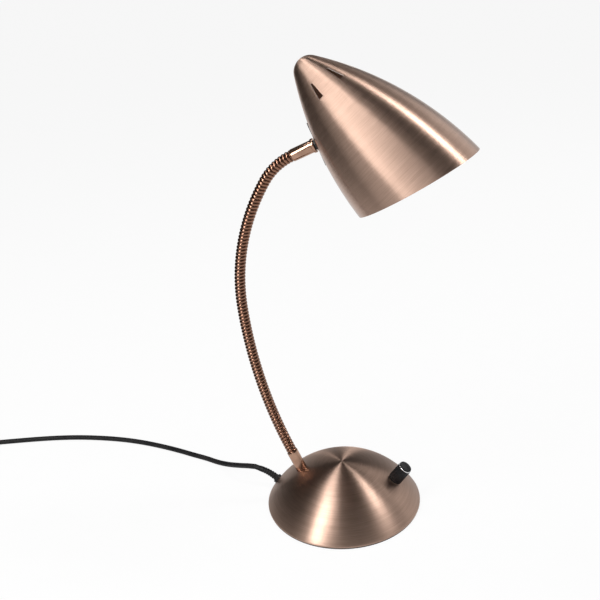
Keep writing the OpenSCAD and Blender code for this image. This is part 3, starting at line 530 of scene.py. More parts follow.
def dome_arc(inset, low, steps):
    """Points down a ball's outline from its top to a height."""
    radius = dome_r - inset
    last = math.acos((low - dome_zc) / radius)
    return [(radius * math.sin(last * k / steps), dome_zc + radius * math.cos(last * k / steps))
            for k in range(steps + 1)]


def holed(piece, cutters):
    """Cuts the piece with other objects and returns it as a plain mesh."""
    for cutter in cutters:
        cut = piece.modifiers.new("cut", "BOOLEAN")
        cut.operation, cut.solver, cut.object = "DIFFERENCE", "EXACT", cutter
    done = piece.evaluated_get(bpy.context.evaluated_depsgraph_get())
    mesh = bpy.data.meshes.new_from_object(done)
    piece.modifiers.clear()
    mesh.set_sharp_from_angle(angle=math.radians(sharp_angle))
    piece.data = mesh
    for cutter in cutters:
        bpy.data.objects.remove(cutter)
    return piece


def punch(place, radius, low, high, finish):
    """A plain round cutter along Z of a frame."""
    return lathe("punch", [(0, low), (radius, low), (radius, high), (0, high)], place, finish, 48)


outside = dome_arc(0, edge_z, 72)
inside = dome_arc(wall, edge_z, 24)[::-1]
dome_outline = [*outside[:-1], (foot_r, edge_z, 0.0004), (foot_r, pad_t, 0.0003),
                (inside[0][0], pad_t), *inside]
dome = lathe("foot_dome", dome_outline, None, copper_sheet, 288)
knob_out, knob_heading = 0.051, -15
knob_spot = on_dome(knob_out, knob_heading)
neck_foot = neck_frame(-ferrule_l)
gland_spot = on_dome(gland_r, gland_heading)
nipple_hole, shaft_hole, gland_hole = 0.0042, 0.0037, 0.0038
holed(dome, [punch(neck_foot, nipple_hole, -0.010, 0.010, copper_sheet),
             punch(knob_spot, shaft_hole, -0.006, 0.006, copper_sheet),
             punch(gland_spot, gland_hole, -0.006, 0.006, copper_sheet)])
belongs(dome, "base", "copper", "base_shell")
print("the dome has", len(dome.data.polygons), "faces")

# %% [markdown]
# The foot stands on a thin pad of black foam, set in by half a millimetre. Foam is matt and full
# of tiny cells: a Voronoi texture gives them as bump.

# %% Foam pad
foam, tree, shader = new_finish("foam_black", Roughness=0.92, Specular_IOR_Level=0.2)
cells = add(tree, "ShaderNodeTexVoronoi", {
    "Vector": add(tree, "ShaderNodeTexCoord").outputs["Object"], "Scale": 2200}).outputs["Distance"]
vary(tree, shader, "Base Color", speckle(tree, 300), (0.010, 0.010, 0.010), (0.028, 0.027, 0.026))
raise_surface(tree, shader, cells, 0.0002)
pad_r = foot_r - 0.0005
pad = lathe("foot_pad_foam", [(0, 0), (pad_r, 0, 0.0005), (pad_r, pad_t, 0.0003), (0, pad_t)],
            None, foam, 192)
belongs(pad, "base", "foam_pad", "foot_pad")
print("the pad is", pad_t, "m thick")

# %% [markdown]
# ## Ferrules and collar
#
# The two ferrules and the collar nut are small turned pieces, polished and not brushed, so
# they mirror their surroundings in thin bright lines. Their copper is smoother, with faint
# turning marks. The foot's ferrule is shaped to the dome: each point of its lower end slides
# along the axis until it meets the ball.

# %% Polished copper and the ferrules
def turned_copper(name, dark, pale, low, high):
    """Polished copper with faint turning rings."""
    material, tree, shader = new_finish(name, Metallic=1.0, Anisotropic=0.3)
    rings = speckle(tree, 1.0, 4, 0.6, ring_vector(tree, 3200, 1.5))
    wear = speckle(tree, 140, 4)
    vary(tree, shader, "Base Color", wear, dark, pale)
    vary(tree, shader, "Roughness", rings, low, high)
    follow_spin(tree, shader)
    raise_surface(tree, shader, rings, 0.000006)
    return material


copper_bright = turned_copper("polished_copper", (0.34, 0.205, 0.145), (0.46, 0.285, 0.205), 0.10, 0.22)
ferrule_r = 0.00545
mouth_r = 0.0043 + 0.0001
mouth_l = 0.0054
bore_r = 0.0026
nipple_r = 0.00405
nipple_l = 0.008
dome_gap = 0.00003


def meet_dome(piece, place, below):
    """Slides the vertices under a level along the frame's axis, onto the dome."""
    axis = place.to_3x3() @ Vector((0, 0, 1))
    level = place.inverted()
    centre = Vector((0, 0, dome_zc))
    for vertex in piece.data.vertices:
        if (level @ vertex.co).z < below:
            away = vertex.co - centre
            b = away.dot(axis)
            c = away.length_squared - (dome_r + dome_gap) ** 2
            vertex.co += axis * (-b + math.sqrt(b * b - c))
    return piece


foot_ferrule = lathe("ferrule_foot", [
    (nipple_r, 0, 0), (ferrule_r, 0, 0), (ferrule_r, ferrule_l, 0.0006),
    (mouth_r, ferrule_l, 0.0002), (mouth_r, ferrule_l - mouth_l),
    (bore_r, ferrule_l - mouth_l), (bore_r, nipple_l), (nipple_r, nipple_l), (nipple_r, 0)],
    neck_foot, copper_bright, 96, loop=True)
meet_dome(foot_ferrule, neck_foot, 0.001)
belongs(foot_ferrule, "base", "copper", "foot_ferrule")

head_ferrule = lathe("ferrule_head", [
    (mouth_r, 0, 0), (ferrule_r, 0, 0.0006), (ferrule_r, head_ferrule_l, 0.0005),
    (nipple_r, head_ferrule_l), (nipple_r, head_ferrule_l - nipple_l),
    (bore_r, head_ferrule_l - nipple_l), (bore_r, mouth_l), (mouth_r, mouth_l),
    (mouth_r, 0)], neck_end, copper_bright, 96, loop=True)
belongs(head_ferrule, "head", "copper", "head_ferrule")

collar_r = 0.0063
hair = 0.00002
collar_z = head_ferrule_l + hair
collar_top = head_ferrule_l + collar_t - hair
collar = lathe("collar", [
    (nipple_r, collar_z), (collar_r, collar_z, 0.0005), (collar_r, collar_top, 0.0005),
    (nipple_r, collar_top), (nipple_r, collar_z)], neck_end, copper_bright, 96, loop=True)
belongs(collar, "head", "copper", "collar_nut")
print("ferrules and collar made")

# %% [markdown]
# Three helpers serve every tree of Geometry Nodes. One makes a tree with named inputs, one gives
# the place of each point, and one runs a tree on an object and keeps the result as a plain mesh.

# %% Tree helpers
def new_tree(name, sockets, answer):
    """A tree with named inputs and one answer, and the sockets where its inputs arrive."""
    tree = bpy.data.node_groups.new(name, "GeometryNodeTree")
    inputs = {}
    for title, kind, value in sockets:
        socket = tree.interface.new_socket(name=title, in_out="INPUT", socket_type=kind)
        if value is not None:
            socket.default_value = value
        inputs[title] = socket.identifier
    tree.interface.new_socket(name=answer, in_out="OUTPUT", socket_type="NodeSocketGeometry")
    return tree, inputs, tree.nodes.new("NodeGroupInput").outputs


def position(tree):
    """X, Y and Z of each point."""
    place = tree.nodes.new("GeometryNodeInputPosition").outputs[0]
    return add(tree, "ShaderNodeSeparateXYZ", {"Vector": place}).outputs


def run_tree(carrier, tree, inputs, values):
    """The plain mesh that a tree makes of an object. The object is then removed."""
    maker = carrier.modifiers.new(tree.name, "NODES")
    maker.node_group = tree
    for key, value in values.items():
        maker[inputs[key]] = value
    done = carrier.evaluated_get(bpy.context.evaluated_depsgraph_get())
    mesh = bpy.data.meshes.new_from_object(done)
    bpy.data.objects.remove(carrier)
    return mesh


print("tree helpers ready")

# %% [markdown]
# ## Gooseneck
#
# The gooseneck is a tube wound from wire: a rounded ridge and a groove for every turn. Its
# shape follows a rule, so Geometry Nodes make it. The tree takes the centre line as a curve and
# bends a flat grid round it. One grid direction goes out along the outside and back through the
# bore, the other goes round. The ridge height depends on the distance along the neck minus
# the angle, and that difference turns separate rings into one true helix. The tree also stores
# how high each point stands on its ridge, for the painted shade in the grooves.

# %% Tree of the wound tube
crest_r = 0.0051
groove_depth = 0.0008
lead_in = 0.008
fade_l = 0.0006
wound, wound_inputs, given = new_tree("wound_tube", [
    ("Centre Line", "NodeSocketGeometry", None), ("Start", "NodeSocketFloat", 0.0),
    ("End", "NodeSocketFloat", 0.03), ("Ridged From", "NodeSocketFloat", 0.0),
    ("Ridged To", "NodeSocketFloat", 0.3), ("Wire Pitch", "NodeSocketFloat", 0.003),
    ("Crest Radius", "NodeSocketFloat", crest_r), ("Groove Depth", "NodeSocketFloat", groove_depth),
    ("Bore Radius", "NodeSocketFloat", bore_r), ("Rows Outside", "NodeSocketInt", 120),
    ("Rows Inside", "NodeSocketInt", 12), ("Sides", "NodeSocketInt", 32),
    ("Finish", "NodeSocketMaterial", None)], "Tube")
count = calc(wound, "ADD", calc(wound, "ADD", given["Rows Outside"], given["Rows Inside"]), 1.0)
grid = add(wound, "GeometryNodeMeshGrid", {
    "Size X": 1.0, "Size Y": 1.0, "Vertices X": count,
    "Vertices Y": calc(wound, "ADD", given["Sides"], 1.0)})
spot = position(wound)
row = calc(wound, "ROUND", calc(wound, "MULTIPLY", calc(wound, "ADD", spot["X"], 0.5),
                                calc(wound, "SUBTRACT", count, 1.0)))
turn = calc(wound, "ADD", spot["Y"], 0.5)
print("the tree has", len(wound_inputs), "named inputs")

# %% Length and radius of each row
# The 64 whole turns in the phase keep its fraction positive.
last_row = calc(wound, "SUBTRACT", count, 1.0)
outer_rows = calc(wound, "SUBTRACT", given["Rows Outside"], 1.0)
wrapped = calc(wound, "MODULO", row, last_row)
reach = calc(wound, "SUBTRACT", given["End"], given["Start"])
length_out = calc(wound, "ADD", given["Start"], calc(wound, "MULTIPLY", reach,
                  calc(wound, "DIVIDE", wrapped, outer_rows)))
back_share = calc(wound, "DIVIDE", calc(wound, "SUBTRACT", wrapped, given["Rows Outside"]),
                  calc(wound, "SUBTRACT", given["Rows Inside"], 1.0))
length_in = calc(wound, "SUBTRACT", given["End"], calc(wound, "MULTIPLY", reach, back_share))
in_bore = calc(wound, "GREATER_THAN", wrapped, calc(wound, "ADD", outer_rows, 0.5))
length = add(wound, "ShaderNodeMix", {"Factor": in_bore, "A": length_out, "B": length_in}).outputs["Result"]
phase = calc(wound, "FRACT", calc(wound, "ADD", calc(wound, "SUBTRACT",
             calc(wound, "DIVIDE", length, given["Wire Pitch"]), turn), 64.0))
ridge = calc(wound, "SINE", calc(wound, "MULTIPLY", phase, math.pi))
enter = add(wound, "ShaderNodeMapRange", {"Value": length, "From Min": given["Ridged From"],
            "From Max": calc(wound, "ADD", given["Ridged From"], fade_l)}).outputs["Result"]
leave = add(wound, "ShaderNodeMapRange", {"Value": length, "From Max": given["Ridged To"],
            "From Min": calc(wound, "SUBTRACT", given["Ridged To"], fade_l),
            "To Min": 1.0, "To Max": 0.0}).outputs["Result"]
ridge = calc(wound, "MULTIPLY", ridge, calc(wound, "MULTIPLY", enter, leave))
sunk = calc(wound, "MULTIPLY", calc(wound, "SUBTRACT", 1.0, ridge), given["Groove Depth"])
radius = add(wound, "ShaderNodeMix", {"Factor": in_bore, "B": given["Bore Radius"],
             "A": calc(wound, "SUBTRACT", given["Crest Radius"], sunk)}).outputs["Result"]
print("each row knows its length and radius")

# %% Bend the grid round the centre line
line = add(wound, "GeometryNodeSampleCurve",
           {"Curves": given["Centre Line"], "Length": calc(wound, "ADD", length, lead_in)}, mode="LENGTH")
angle = calc(wound, "MULTIPLY", turn, 2 * math.pi)
across = add(wound, "ShaderNodeVectorMath", [(0, line.outputs["Tangent"]), (1, line.outputs["Normal"])],
             operation="CROSS_PRODUCT").outputs["Vector"]


def scaled(vector, amount):
    return add(wound, "ShaderNodeVectorMath", {"Vector": vector, "Scale": amount},
               operation="SCALE").outputs["Vector"]


def summed(a, b):
    return add(wound, "ShaderNodeVectorMath", [(0, a), (1, b)], operation="ADD").outputs["Vector"]


rim = summed(scaled(line.outputs["Normal"], calc(wound, "MULTIPLY", radius, calc(wound, "COSINE", angle))),
             scaled(across, calc(wound, "MULTIPLY", radius, calc(wound, "SINE", angle))))
marked = add(wound, "GeometryNodeStoreNamedAttribute",
             {"Geometry": grid.outputs["Mesh"], "Name": "ridge", "Value": ridge},
             data_type="FLOAT", domain="POINT")
bent = add(wound, "GeometryNodeSetPosition",
           {"Geometry": marked.outputs[0], "Position": summed(line.outputs["Position"], rim)})
welded = add(wound, "GeometryNodeMergeByDistance", {"Geometry": bent.outputs[0], "Distance": 0.00001})
smooth = add(wound, "GeometryNodeSetShadeSmooth", {"Geometry": welded.outputs[0]})
real = add(wound, "GeometryNodeRealizeInstances", {"Geometry": smooth.outputs[0]})
coated = add(wound, "GeometryNodeSetMaterial", {"Geometry": real.outputs[0], "Material": given["Finish"]})
wound.links.new(coated.outputs[0], wound.nodes.new("NodeGroupOutput").inputs[0])
print("the tree has", len(wound.nodes), "nodes")

# %% [markdown]
# The wound copper is bright on its ridges, and its grooves are painted near-black: painted shade in
# the wire's recesses. The stored height mixes the two, and a little noise breaks the border up.

# %% Neck's finish
neck_copper, tree, shader = new_finish("wound_copper", Metallic=1.0)
height = add(tree, "ShaderNodeAttribute", attribute_name="ridge").outputs["Fac"]
groove_shade_and_gloss = calc(tree, "ADD", height, calc(tree, "MULTIPLY", calc(tree, "SUBTRACT", speckle(tree, 700), 0.5), 0.3))
# Painted shade: the ridge height turns the colour near-black in the grooves and copper on the ridges.
ramp = add(tree, "ShaderNodeValToRGB", {"Fac": groove_shade_and_gloss})
for stop, (place, colour) in zip((0, 1), ((0.12, (0.020, 0.009, 0.006)), (0.50, (0.26, 0.138, 0.092)))):
    ramp.color_ramp.elements[stop].position = place
    ramp.color_ramp.elements[stop].color = (*colour, 1)
tree.links.new(ramp.outputs["Color"], shader.inputs["Base Color"])
gloss = add(tree, "ShaderNodeMapRange", {"Value": groove_shade_and_gloss, "To Min": 0.45, "To Max": 0.15})
tree.links.new(gloss.outputs["Result"], shader.inputs["Roughness"])
raise_surface(tree, shader, speckle(tree, 1800), 0.00001)
print("the neck's finish follows the ridges")

# %% [markdown]
# The neck bends in nine rigid stretches, each joined to the next by one joint. The wound tube is
# cut in the middle of each stretch, so every inner piece crosses just one joint. A real tube bends
# more evenly: at full bend a soft corner still shows here.

# %% Gooseneck
stretches = 9
stretch_l = neck_l / stretches
bodies = ["base", *[f"neck_{k}" for k in range(2, stretches)], "head"]
spigot_l = 0.005
neck_turns = 96
rows_per_turn = 14
blend_share = 0.47
line_steps = 480
line_points = [neck_frame(-lead_in + k * (neck_l + 2 * lead_in) / line_steps).translation
               for k in range(line_steps + 1)]


def wound_piece(name, points, start, end, finish, sizes):
    """A piece of wound tube as a plain mesh. Its centre line starts 8 mm before length 0."""
    data = bpy.data.curves.new("centre_line", "CURVE")
    data.dimensions = "3D"
    spline = data.splines.new("POLY")
    spline.points.add(len(points) - 1)
    for slot, point in zip(spline.points, points):
        slot.co = (*point, 1)
    guide = bpy.data.objects.new("centre_line", data)
    scene.collection.objects.link(guide)
    mesh = run_tree(guide, wound, wound_inputs, {"Start": start, "End": end, "Finish": finish, **sizes})
    return as_object(name, mesh, sharp=180)


def on_neck(piece, k, slot, node):
    """Lets an end piece ride its body; an inner piece over joint k is baked in place and its node hidden."""
    if 0 < k < stretches:
        joint = k * stretch_l
        neck_frame(joint - blend_share * stretch_l).translation
        neck_frame(joint + blend_share * stretch_l).translation
        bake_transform(piece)
        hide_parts(f"{node}_{k + 1}")
    else:
        belongs(piece, bodies[min(k, stretches - 1)], slot, f"{node}_{min(k + 1, stretches)}")


neck_sizes = {"Ridged From": 0.0, "Ridged To": neck_l, "Wire Pitch": neck_l / neck_turns,
              "Crest Radius": crest_r, "Groove Depth": groove_depth, "Bore Radius": bore_r,
              "Sides": 32, "Rows Inside": 14}
cuts = [-spigot_l, *[(k + 0.5) * stretch_l for k in range(stretches)], neck_l + spigot_l]
for k, (start, end) in enumerate(zip(cuts, cuts[1:])):
    piece = wound_piece(f"gooseneck_{k + 1}", line_points, start, end, neck_copper, {
        **neck_sizes, "Rows Outside": int((end - start) / neck_sizes["Wire Pitch"] * rows_per_turn) + 1})
    on_neck(piece, k, "copper", "neck_stretch")
print("the gooseneck has", neck_turns, "turns in", len(cuts) - 1, "pieces")

# %% [markdown]
# ## Shade
#
# The shade is spun too, but its rim is cut on a slant, and a plain lathe can't do that. Each
# line of its mesh runs from the tip to its own end on the slanted plane. The rows bunch
# up or spread out a little, while the spin map still counts true metres along the outline, so the
# brush marks stay square to the axis.

# %% Shade's sheet
rim_slope = math.tan(math.radians(14.5))


def outline_point(t, inset):
    """Radius of the shade at t, on its nose or on its side."""
    if t < nose_end.y:
        return math.sqrt(max((nose_r - inset) ** 2 - (nose_r - t) ** 2, 0))
    return shade_radius(t, inset)


def rim_at(angle, inset):
    """Where the line at this angle meets the slanted cut."""
    t = shade_l
    for _ in range(30):
        t = shade_l - rim_slope * shade_radius(t, inset) * math.cos(angle)
    return t


def sheet_side(inset, rows, steps):
    """Rings from the tip to the rim, and the length along the outline at each point."""
    angles = [2 * math.pi * k / steps for k in range(steps)]
    split = nose_r - (nose_r - inset) * math.sin(nose_angle)
    rings = []
    for i in range(rows[0]):
        bow = (math.pi / 2 - nose_angle) * i / rows[0]
        r, t = (nose_r - inset) * math.sin(bow), nose_r - (nose_r - inset) * math.cos(bow)
        rings.append([(0.0, 0.0, t)] if i == 0 else
                     [(r * math.cos(a), r * math.sin(a), t) for a in angles])
    for i in range(rows[1] + 1):
        ring = []
        for a in angles:
            t = split + (rim_at(a, inset) - split) * i / rows[1]
            r = shade_radius(t, inset)
            ring.append((r * math.cos(a), r * math.sin(a), t))
        rings.append(ring)
    return rings


def sheet_rings(inset, steps):
    """Outer rings, a rounded rim and inner rings, closed at both tips."""
    outer, inner = sheet_side(0.0, (14, 90), steps), sheet_side(inset, (8, 40), steps)
    lip_bulge = 0.00018
    lip = []
    for share in (0.25, 0.5, 0.75):
        bulge = lip_bulge * math.sin(math.pi * share)
        lip.append([tuple(a + (b - a) * share + (bulge if n == 2 else 0)
                          for n, (a, b) in enumerate(zip(p, q)))
                    for p, q in zip(outer[-1], inner[-1])])
    return outer + lip + inner[::-1]


steps = 240
rings = sheet_rings(shade_wall, steps)
lengths = [Vector((math.hypot(*ring[0][:2]), ring[0][2])) for ring in rings]
lengths = [0.0] + [(b - a).length for a, b in zip(lengths, lengths[1:])]
lengths = [sum(lengths[:k + 1]) for k in range(len(lengths))] + [0.0]
shade_mesh = net_mesh("shade_spun", rings, False, lengths)
print("the shade's sheet has", len(shade_mesh.polygons), "faces")

# %% [markdown]
# Rows that bunch up need their true U back: it is measured from the height of each point, so that
# one brush mark stays on one circle.

# %% True lengths on the shade
nose_arc = nose_r * (math.pi / 2 - nose_angle)


def length_at(t):
    """Metres along the outline from the tip to height t."""
    if t < nose_end.y:
        return nose_r * math.acos(max(-1, min(1, 1 - t / nose_r)))
    first = math.asin((nose_end.y - side_centre.y) / side_r)
    return nose_arc + side_r * (math.asin((t - side_centre.y) / side_r) - first)


spin = shade_mesh.uv_layers["spin"].uv
for loop in shade_mesh.loops:
    height = shade_mesh.vertices[loop.vertex_index].co.z
    spin[loop.index].vector.x = length_at(height)
print("the outline is", round(length_at(shade_l), 4), "m from tip to rim")

# %% [markdown]
# Five wedge-shaped vents let the heat out near the tip. They repeat round the axis, so Geometry
# Nodes make them: a box is tapered into a wedge, set on points, turned in equal steps, and
# taken away from the sheet. The cut faces keep a finish of their own, which shows as a
# bright raw edge.

# %% Tree of the vents
vents = 5
vent_step = math.radians(47.5)
vent_from, vent_to = 0.023, 0.037
vent_narrow, vent_wide = 0.0018, 0.0048
vented, vent_inputs, given = new_tree("vented_sheet", [
    ("Sheet", "NodeSocketGeometry", None), ("Vents", "NodeSocketInt", vents),
    ("Step", "NodeSocketFloat", vent_step), ("From", "NodeSocketFloat", vent_from),
    ("To", "NodeSocketFloat", vent_to), ("Narrow", "NodeSocketFloat", vent_narrow),
    ("Wide", "NodeSocketFloat", vent_wide), ("Raw Edge", "NodeSocketMaterial", None)], "Vented")
block = add(vented, "GeometryNodeMeshCube", {"Size": (1.0, 1.0, 1.0)})
spot = position(vented)
low_to_high = calc(vented, "ADD", spot["Z"], 0.5)
width = calc(vented, "ADD", given["Narrow"], calc(vented, "MULTIPLY", low_to_high,
             calc(vented, "SUBTRACT", given["Wide"], given["Narrow"])))
wedge = add(vented, "GeometryNodeSetPosition", {
    "Geometry": block.outputs["Mesh"],
    "Position": add(vented, "ShaderNodeCombineXYZ", {
        "X": calc(vented, "MULTIPLY", calc(vented, "SUBTRACT", spot["X"], 0.52), 0.06),
        "Y": calc(vented, "MULTIPLY", spot["Y"], width),
        "Z": calc(vented, "ADD", given["From"], calc(vented, "MULTIPLY", low_to_high,
                  calc(vented, "SUBTRACT", given["To"], given["From"])))}).outputs["Vector"]})
raw = add(vented, "GeometryNodeSetMaterial", {"Geometry": wedge.outputs[0], "Material": given["Raw Edge"]})
row = add(vented, "GeometryNodeMeshLine", {"Count": given["Vents"], "Offset": (0.0, 0.0, 0.0)})
order = vented.nodes.new("GeometryNodeInputIndex").outputs[0]
middle = calc(vented, "DIVIDE", calc(vented, "SUBTRACT", given["Vents"], 1.0), 2.0)
turn = add(vented, "ShaderNodeCombineXYZ", {
    "Z": calc(vented, "MULTIPLY", calc(vented, "SUBTRACT", order, middle), given["Step"])})
wedges = add(vented, "GeometryNodeInstanceOnPoints", {
    "Points": row.outputs[0], "Instance": raw.outputs[0], "Rotation": turn.outputs[0]})
real = add(vented, "GeometryNodeRealizeInstances", {"Geometry": wedges.outputs[0]})
cut = add(vented, "GeometryNodeMeshBoolean", {"Mesh 1": given["Sheet"], "Mesh 2": real.outputs[0]},
          operation="DIFFERENCE", solver="EXACT")
vented.links.new(cut.outputs["Mesh"], vented.nodes.new("NodeGroupOutput").inputs[0])
print("the vent tree has", len(vented.nodes), "nodes")

# %% Shade
raw_edge, tree, shader = new_finish("raw_cut_edge", Metallic=0.35)
vary(tree, shader, "Base Color", speckle(tree, 900), (0.84, 0.72, 0.64), (0.95, 0.88, 0.82))
vary(tree, shader, "Roughness", speckle(tree, 2500), 0.40, 0.56)
copper_inside = brushed_copper("dull_copper_inside", (0.30, 0.19, 0.14), (0.42, 0.27, 0.20),
                               0.46, 0.62, 0.4, 0.6)
shade = as_object("shade_spun", shade_mesh, None, [copper_sheet, copper_inside, raw_edge])
for face in shade.data.polygons:
    middle = face.center
    if math.hypot(middle.x, middle.y) < outline_point(max(middle.z, 0), 0) - 0.6 * shade_wall:
        face.material_index = 1
shade_mesh = run_tree(shade, vented, vent_inputs, {
    "Vents": vents, "Step": vent_step, "From": vent_from, "To": vent_to,
    "Narrow": vent_narrow, "Wide": vent_wide, "Raw Edge": raw_edge})
shade = as_object("shade_spun", shade_mesh, in_shade)
holed(shade, [punch(at_joint, nipple_hole, -0.004, 0.006, copper_inside)])
belongs(shade, "head", "copper", "shade")
print("the shade has", len(shade.data.polygons), "faces and", len(shade.data.materials), "finishes")

# %% [markdown]
# ## Knob
#
# The knob is a black moulded grip with flutes, a bright ring and a black cap. The lathe gives a
# plain blank with rounded edges, and Geometry Nodes carve the flutes: each point finds its angle,
# the distance to the nearest flute, and moves inward where the flute is deeper than the blank.
# Carving after turning keeps the rounded edges, which a fluted profile pulled straight would lose.

# %% Tree of the flutes
flutes = 24
flute_depth = 0.0004
knob_r = 0.00675
fluted, flute_inputs, given = new_tree("fluted_grip", [
    ("Blank", "NodeSocketGeometry", None), ("Flutes", "NodeSocketInt", flutes),
    ("Depth", "NodeSocketFloat", flute_depth), ("Radius", "NodeSocketFloat", knob_r),
    ("Flute Share", "NodeSocketFloat", 0.75), ("Finish", "NodeSocketMaterial", None)], "Grip")
spot = position(fluted)
angle = calc(fluted, "DIVIDE", calc(fluted, "ARCTAN2", spot["Y"], spot["X"]), 2 * math.pi)
phase = calc(fluted, "FRACT", calc(fluted, "ADD", calc(fluted, "MULTIPLY", angle, given["Flutes"]), 64.5))
off = calc(fluted, "DIVIDE", calc(fluted, "ABSOLUTE", calc(
    fluted, "SUBTRACT", calc(fluted, "MULTIPLY", phase, 2.0), 1.0)), given["Flute Share"])
cut = calc(fluted, "MULTIPLY", given["Depth"], calc(fluted, "MAXIMUM", 0.0, calc(
    fluted, "SUBTRACT", 1.0, calc(fluted, "MULTIPLY", off, off))))
here = calc(fluted, "MAXIMUM", 0.00001, calc(fluted, "SQRT", calc(
    fluted, "ADD", calc(fluted, "MULTIPLY", spot["X"], spot["X"]),
    calc(fluted, "MULTIPLY", spot["Y"], spot["Y"]))))
share = calc(fluted, "DIVIDE", calc(fluted, "MINIMUM", here, calc(
    fluted, "SUBTRACT", given["Radius"], cut)), here)
carved = add(fluted, "GeometryNodeSetPosition", {
    "Geometry": given["Blank"], "Position": add(fluted, "ShaderNodeCombineXYZ", {
        "X": calc(fluted, "MULTIPLY", spot["X"], share),
        "Y": calc(fluted, "MULTIPLY", spot["Y"], share), "Z": spot["Z"]}).outputs["Vector"]})
real = add(fluted, "GeometryNodeRealizeInstances", {"Geometry": carved.outputs[0]})
coated = add(fluted, "GeometryNodeSetMaterial", {"Geometry": real.outputs[0], "Material": given["Finish"]})
fluted.links.new(coated.outputs[0], fluted.nodes.new("NodeGroupOutput").inputs[0])
print("the flute tree has", len(fluted.nodes), "nodes")

# %% [markdown]
# Moulded phenolic is deep black with a half gloss. It picks up fine wear, so its roughness moves a
# little, and its surface has the faint swirl of a polished mould. The ring is pale turned aluminium, whose
# pale colour stands in for the highlight along the knob's top edge: a painted highlight.

# %% Finishes of the knob
def moulded(name, dark, pale, low, high, bump=0.00001, shine=0.5):
    """Moulded plastic: broad drift in colour, fine drift in gloss, and a faint skin."""
    material, tree, shader = new_finish(name, Specular_IOR_Level=shine)
    vary(tree, shader, "Base Color", speckle(tree, 120, 3), dark, pale)
    vary(tree, shader, "Roughness", speckle(tree, 420, 5), low, high)
    raise_surface(tree, shader, speckle(tree, 1500, 4), bump)
    return material


knob_black = moulded("black_phenolic", (0.004, 0.004, 0.005), (0.009, 0.009, 0.010), 0.16, 0.30,
                     shine=0.22)
plastic_black = moulded("black_plastic", (0.010, 0.010, 0.010), (0.020, 0.020, 0.019), 0.34, 0.46,
                        0.00003, 0.3)


def turned_metal(name, dark, pale, low, high, spread=0.5):
    """Turned metal: rings from the spin map in gloss and bump."""
    material, tree, shader = new_finish(name, Metallic=1.0, Anisotropic=spread)
    rings = speckle(tree, 1.0, 4, 0.6, ring_vector(tree, 5200, 1.2))
    vary(tree, shader, "Base Color", rings, dark, pale)
    vary(tree, shader, "Roughness", rings, low, high)
    follow_spin(tree, shader)
    raise_surface(tree, shader, rings, 0.000004)
    return material


# Painted highlight: the pale aluminium ring stands for the light caught along the knob's top edge.
bright_ring = turned_metal("aluminium_painted_highlight", (0.70, 0.70, 0.71), (0.88, 0.88, 0.89), 0.14, 0.28)
print("black and bright finishes ready")

# %% Knob
grip_low, grip_top = 0.001, 0.018
ring_top = grip_top + 0.0009
blank = lathe("knob_fluted_grip", [
    (0.00302, 0.004), (0.0057, 0.004), (0.0057, grip_low, 0.0002), (knob_r, grip_low, 0.0006),
    (knob_r, grip_top, 0.0005), (0.00302, grip_top), (0.00302, 0.004)], None, knob_black, 288, loop=True)
grip_mesh = run_tree(blank, fluted, flute_inputs, {
    "Flutes": flutes, "Depth": flute_depth, "Radius": knob_r, "Finish": knob_black})
grip = as_object("knob_fluted_grip", grip_mesh, knob_spot, sharp=50)
belongs(grip, "knob", "black_plastic", "knob_grip")
ring = lathe("knob_bright_ring", [
    (0.00475, grip_top), (0.00665, grip_top, 0.0002), (0.00665, ring_top, 0.0003),
    (0.00475, ring_top), (0.00475, grip_top)], knob_spot, bright_ring, 96, loop=True)
belongs(ring, "knob", "bright_ring", "knob_ring")
crown = [(0.00585 * k / 10, ring_top + 0.0016 - 0.0004 * (k / 10) ** 2) for k in range(11)][::-1]
cap = lathe("knob_crowned_cap", [
    (0, grip_top), (0.00473, grip_top), (0.00473, ring_top), (0.00605, ring_top, 0.0002),
    (0.00605, ring_top + 0.0010, 0.0004), *crown], knob_spot, knob_black, 96)
belongs(cap, "knob", "black_plastic", "knob_cap")
print("the knob has", len(grip.data.polygons), "faces on its grip")

# %% [markdown]
# ## Cord's gland
#
# Where the cord leaves the dome, a soft black gland keeps it from kinking: a flange against the
# dome, then a sleeve that tapers along the cord, with ring grooves so that it bends easily. It is
# turned straight on the lathe, and then every point beyond the flange is carried round the sleeve's
# 40 mm droop.

# %% Gland
gland_outline = [(0, -0.00215), (0.0043, -0.00215, 0.0002), (0.0043, -0.00122), (0.00378, -0.00122),
                 (0.00378, 0), (0.0048, 0), (0.0048, flange_top, 0.0008), (0.0035, flange_top)]
grooves = 6
for k in range(grooves):
    start = flange_top + 0.0016 + k * 0.0026
    taper = [0.0035 - 0.00065 * (z - flange_top) / sleeve_l for z in (start, start + 0.0008)]
    gland_outline += [(taper[0], start, 0.0002), (taper[0] - 0.00045, start, 0.0002),
                      (taper[1] - 0.00045, start + 0.0008, 0.0002), (taper[1], start + 0.0008, 0.0002)]
gland_outline += [(0.00285, flange_top + sleeve_l, 0.0001), (0, flange_top + sleeve_l)]
gland = lathe("cord_gland_sleeve", gland_outline, None, cord_black, 64)
for vertex in gland.data.vertices:
    beyond = vertex.co.z - flange_top
    if beyond > 0:
        bow = beyond / droop
        x = vertex.co.x
        vertex.co.x = droop * (1 - math.cos(bow)) + x * math.cos(bow)
        vertex.co.z = flange_top + (droop - x) * math.sin(bow)
gland.data.transform(gland_spot)
belongs(gland, "base", "cord_black", "cord_gland")
print("the sleeve has", grooves, "grooves and ends", round(gland.data.vertices[-1].co.z, 4), "m up")

# %% [markdown]
# ## Metals, plastics and porcelain
#
# The pieces that the dome and shade hide get finishes of their own: zinc-plated steel, black
# iron, brass, white nylon, glazed porcelain and opal glass.

# %% More finishes
def plain_metal(name, dark, pale, low, high, bump=0.00002, scale=260):
    """Stamped or cast metal: mottled colour and gloss."""
    material, tree, shader = new_finish(name, Metallic=1.0)
    vary(tree, shader, "Base Color", speckle(tree, scale, 5, 0.6), dark, pale)
    vary(tree, shader, "Roughness", speckle(tree, scale * 3, 4), low, high)
    raise_surface(tree, shader, speckle(tree, scale * 6, 4), bump)
    return material


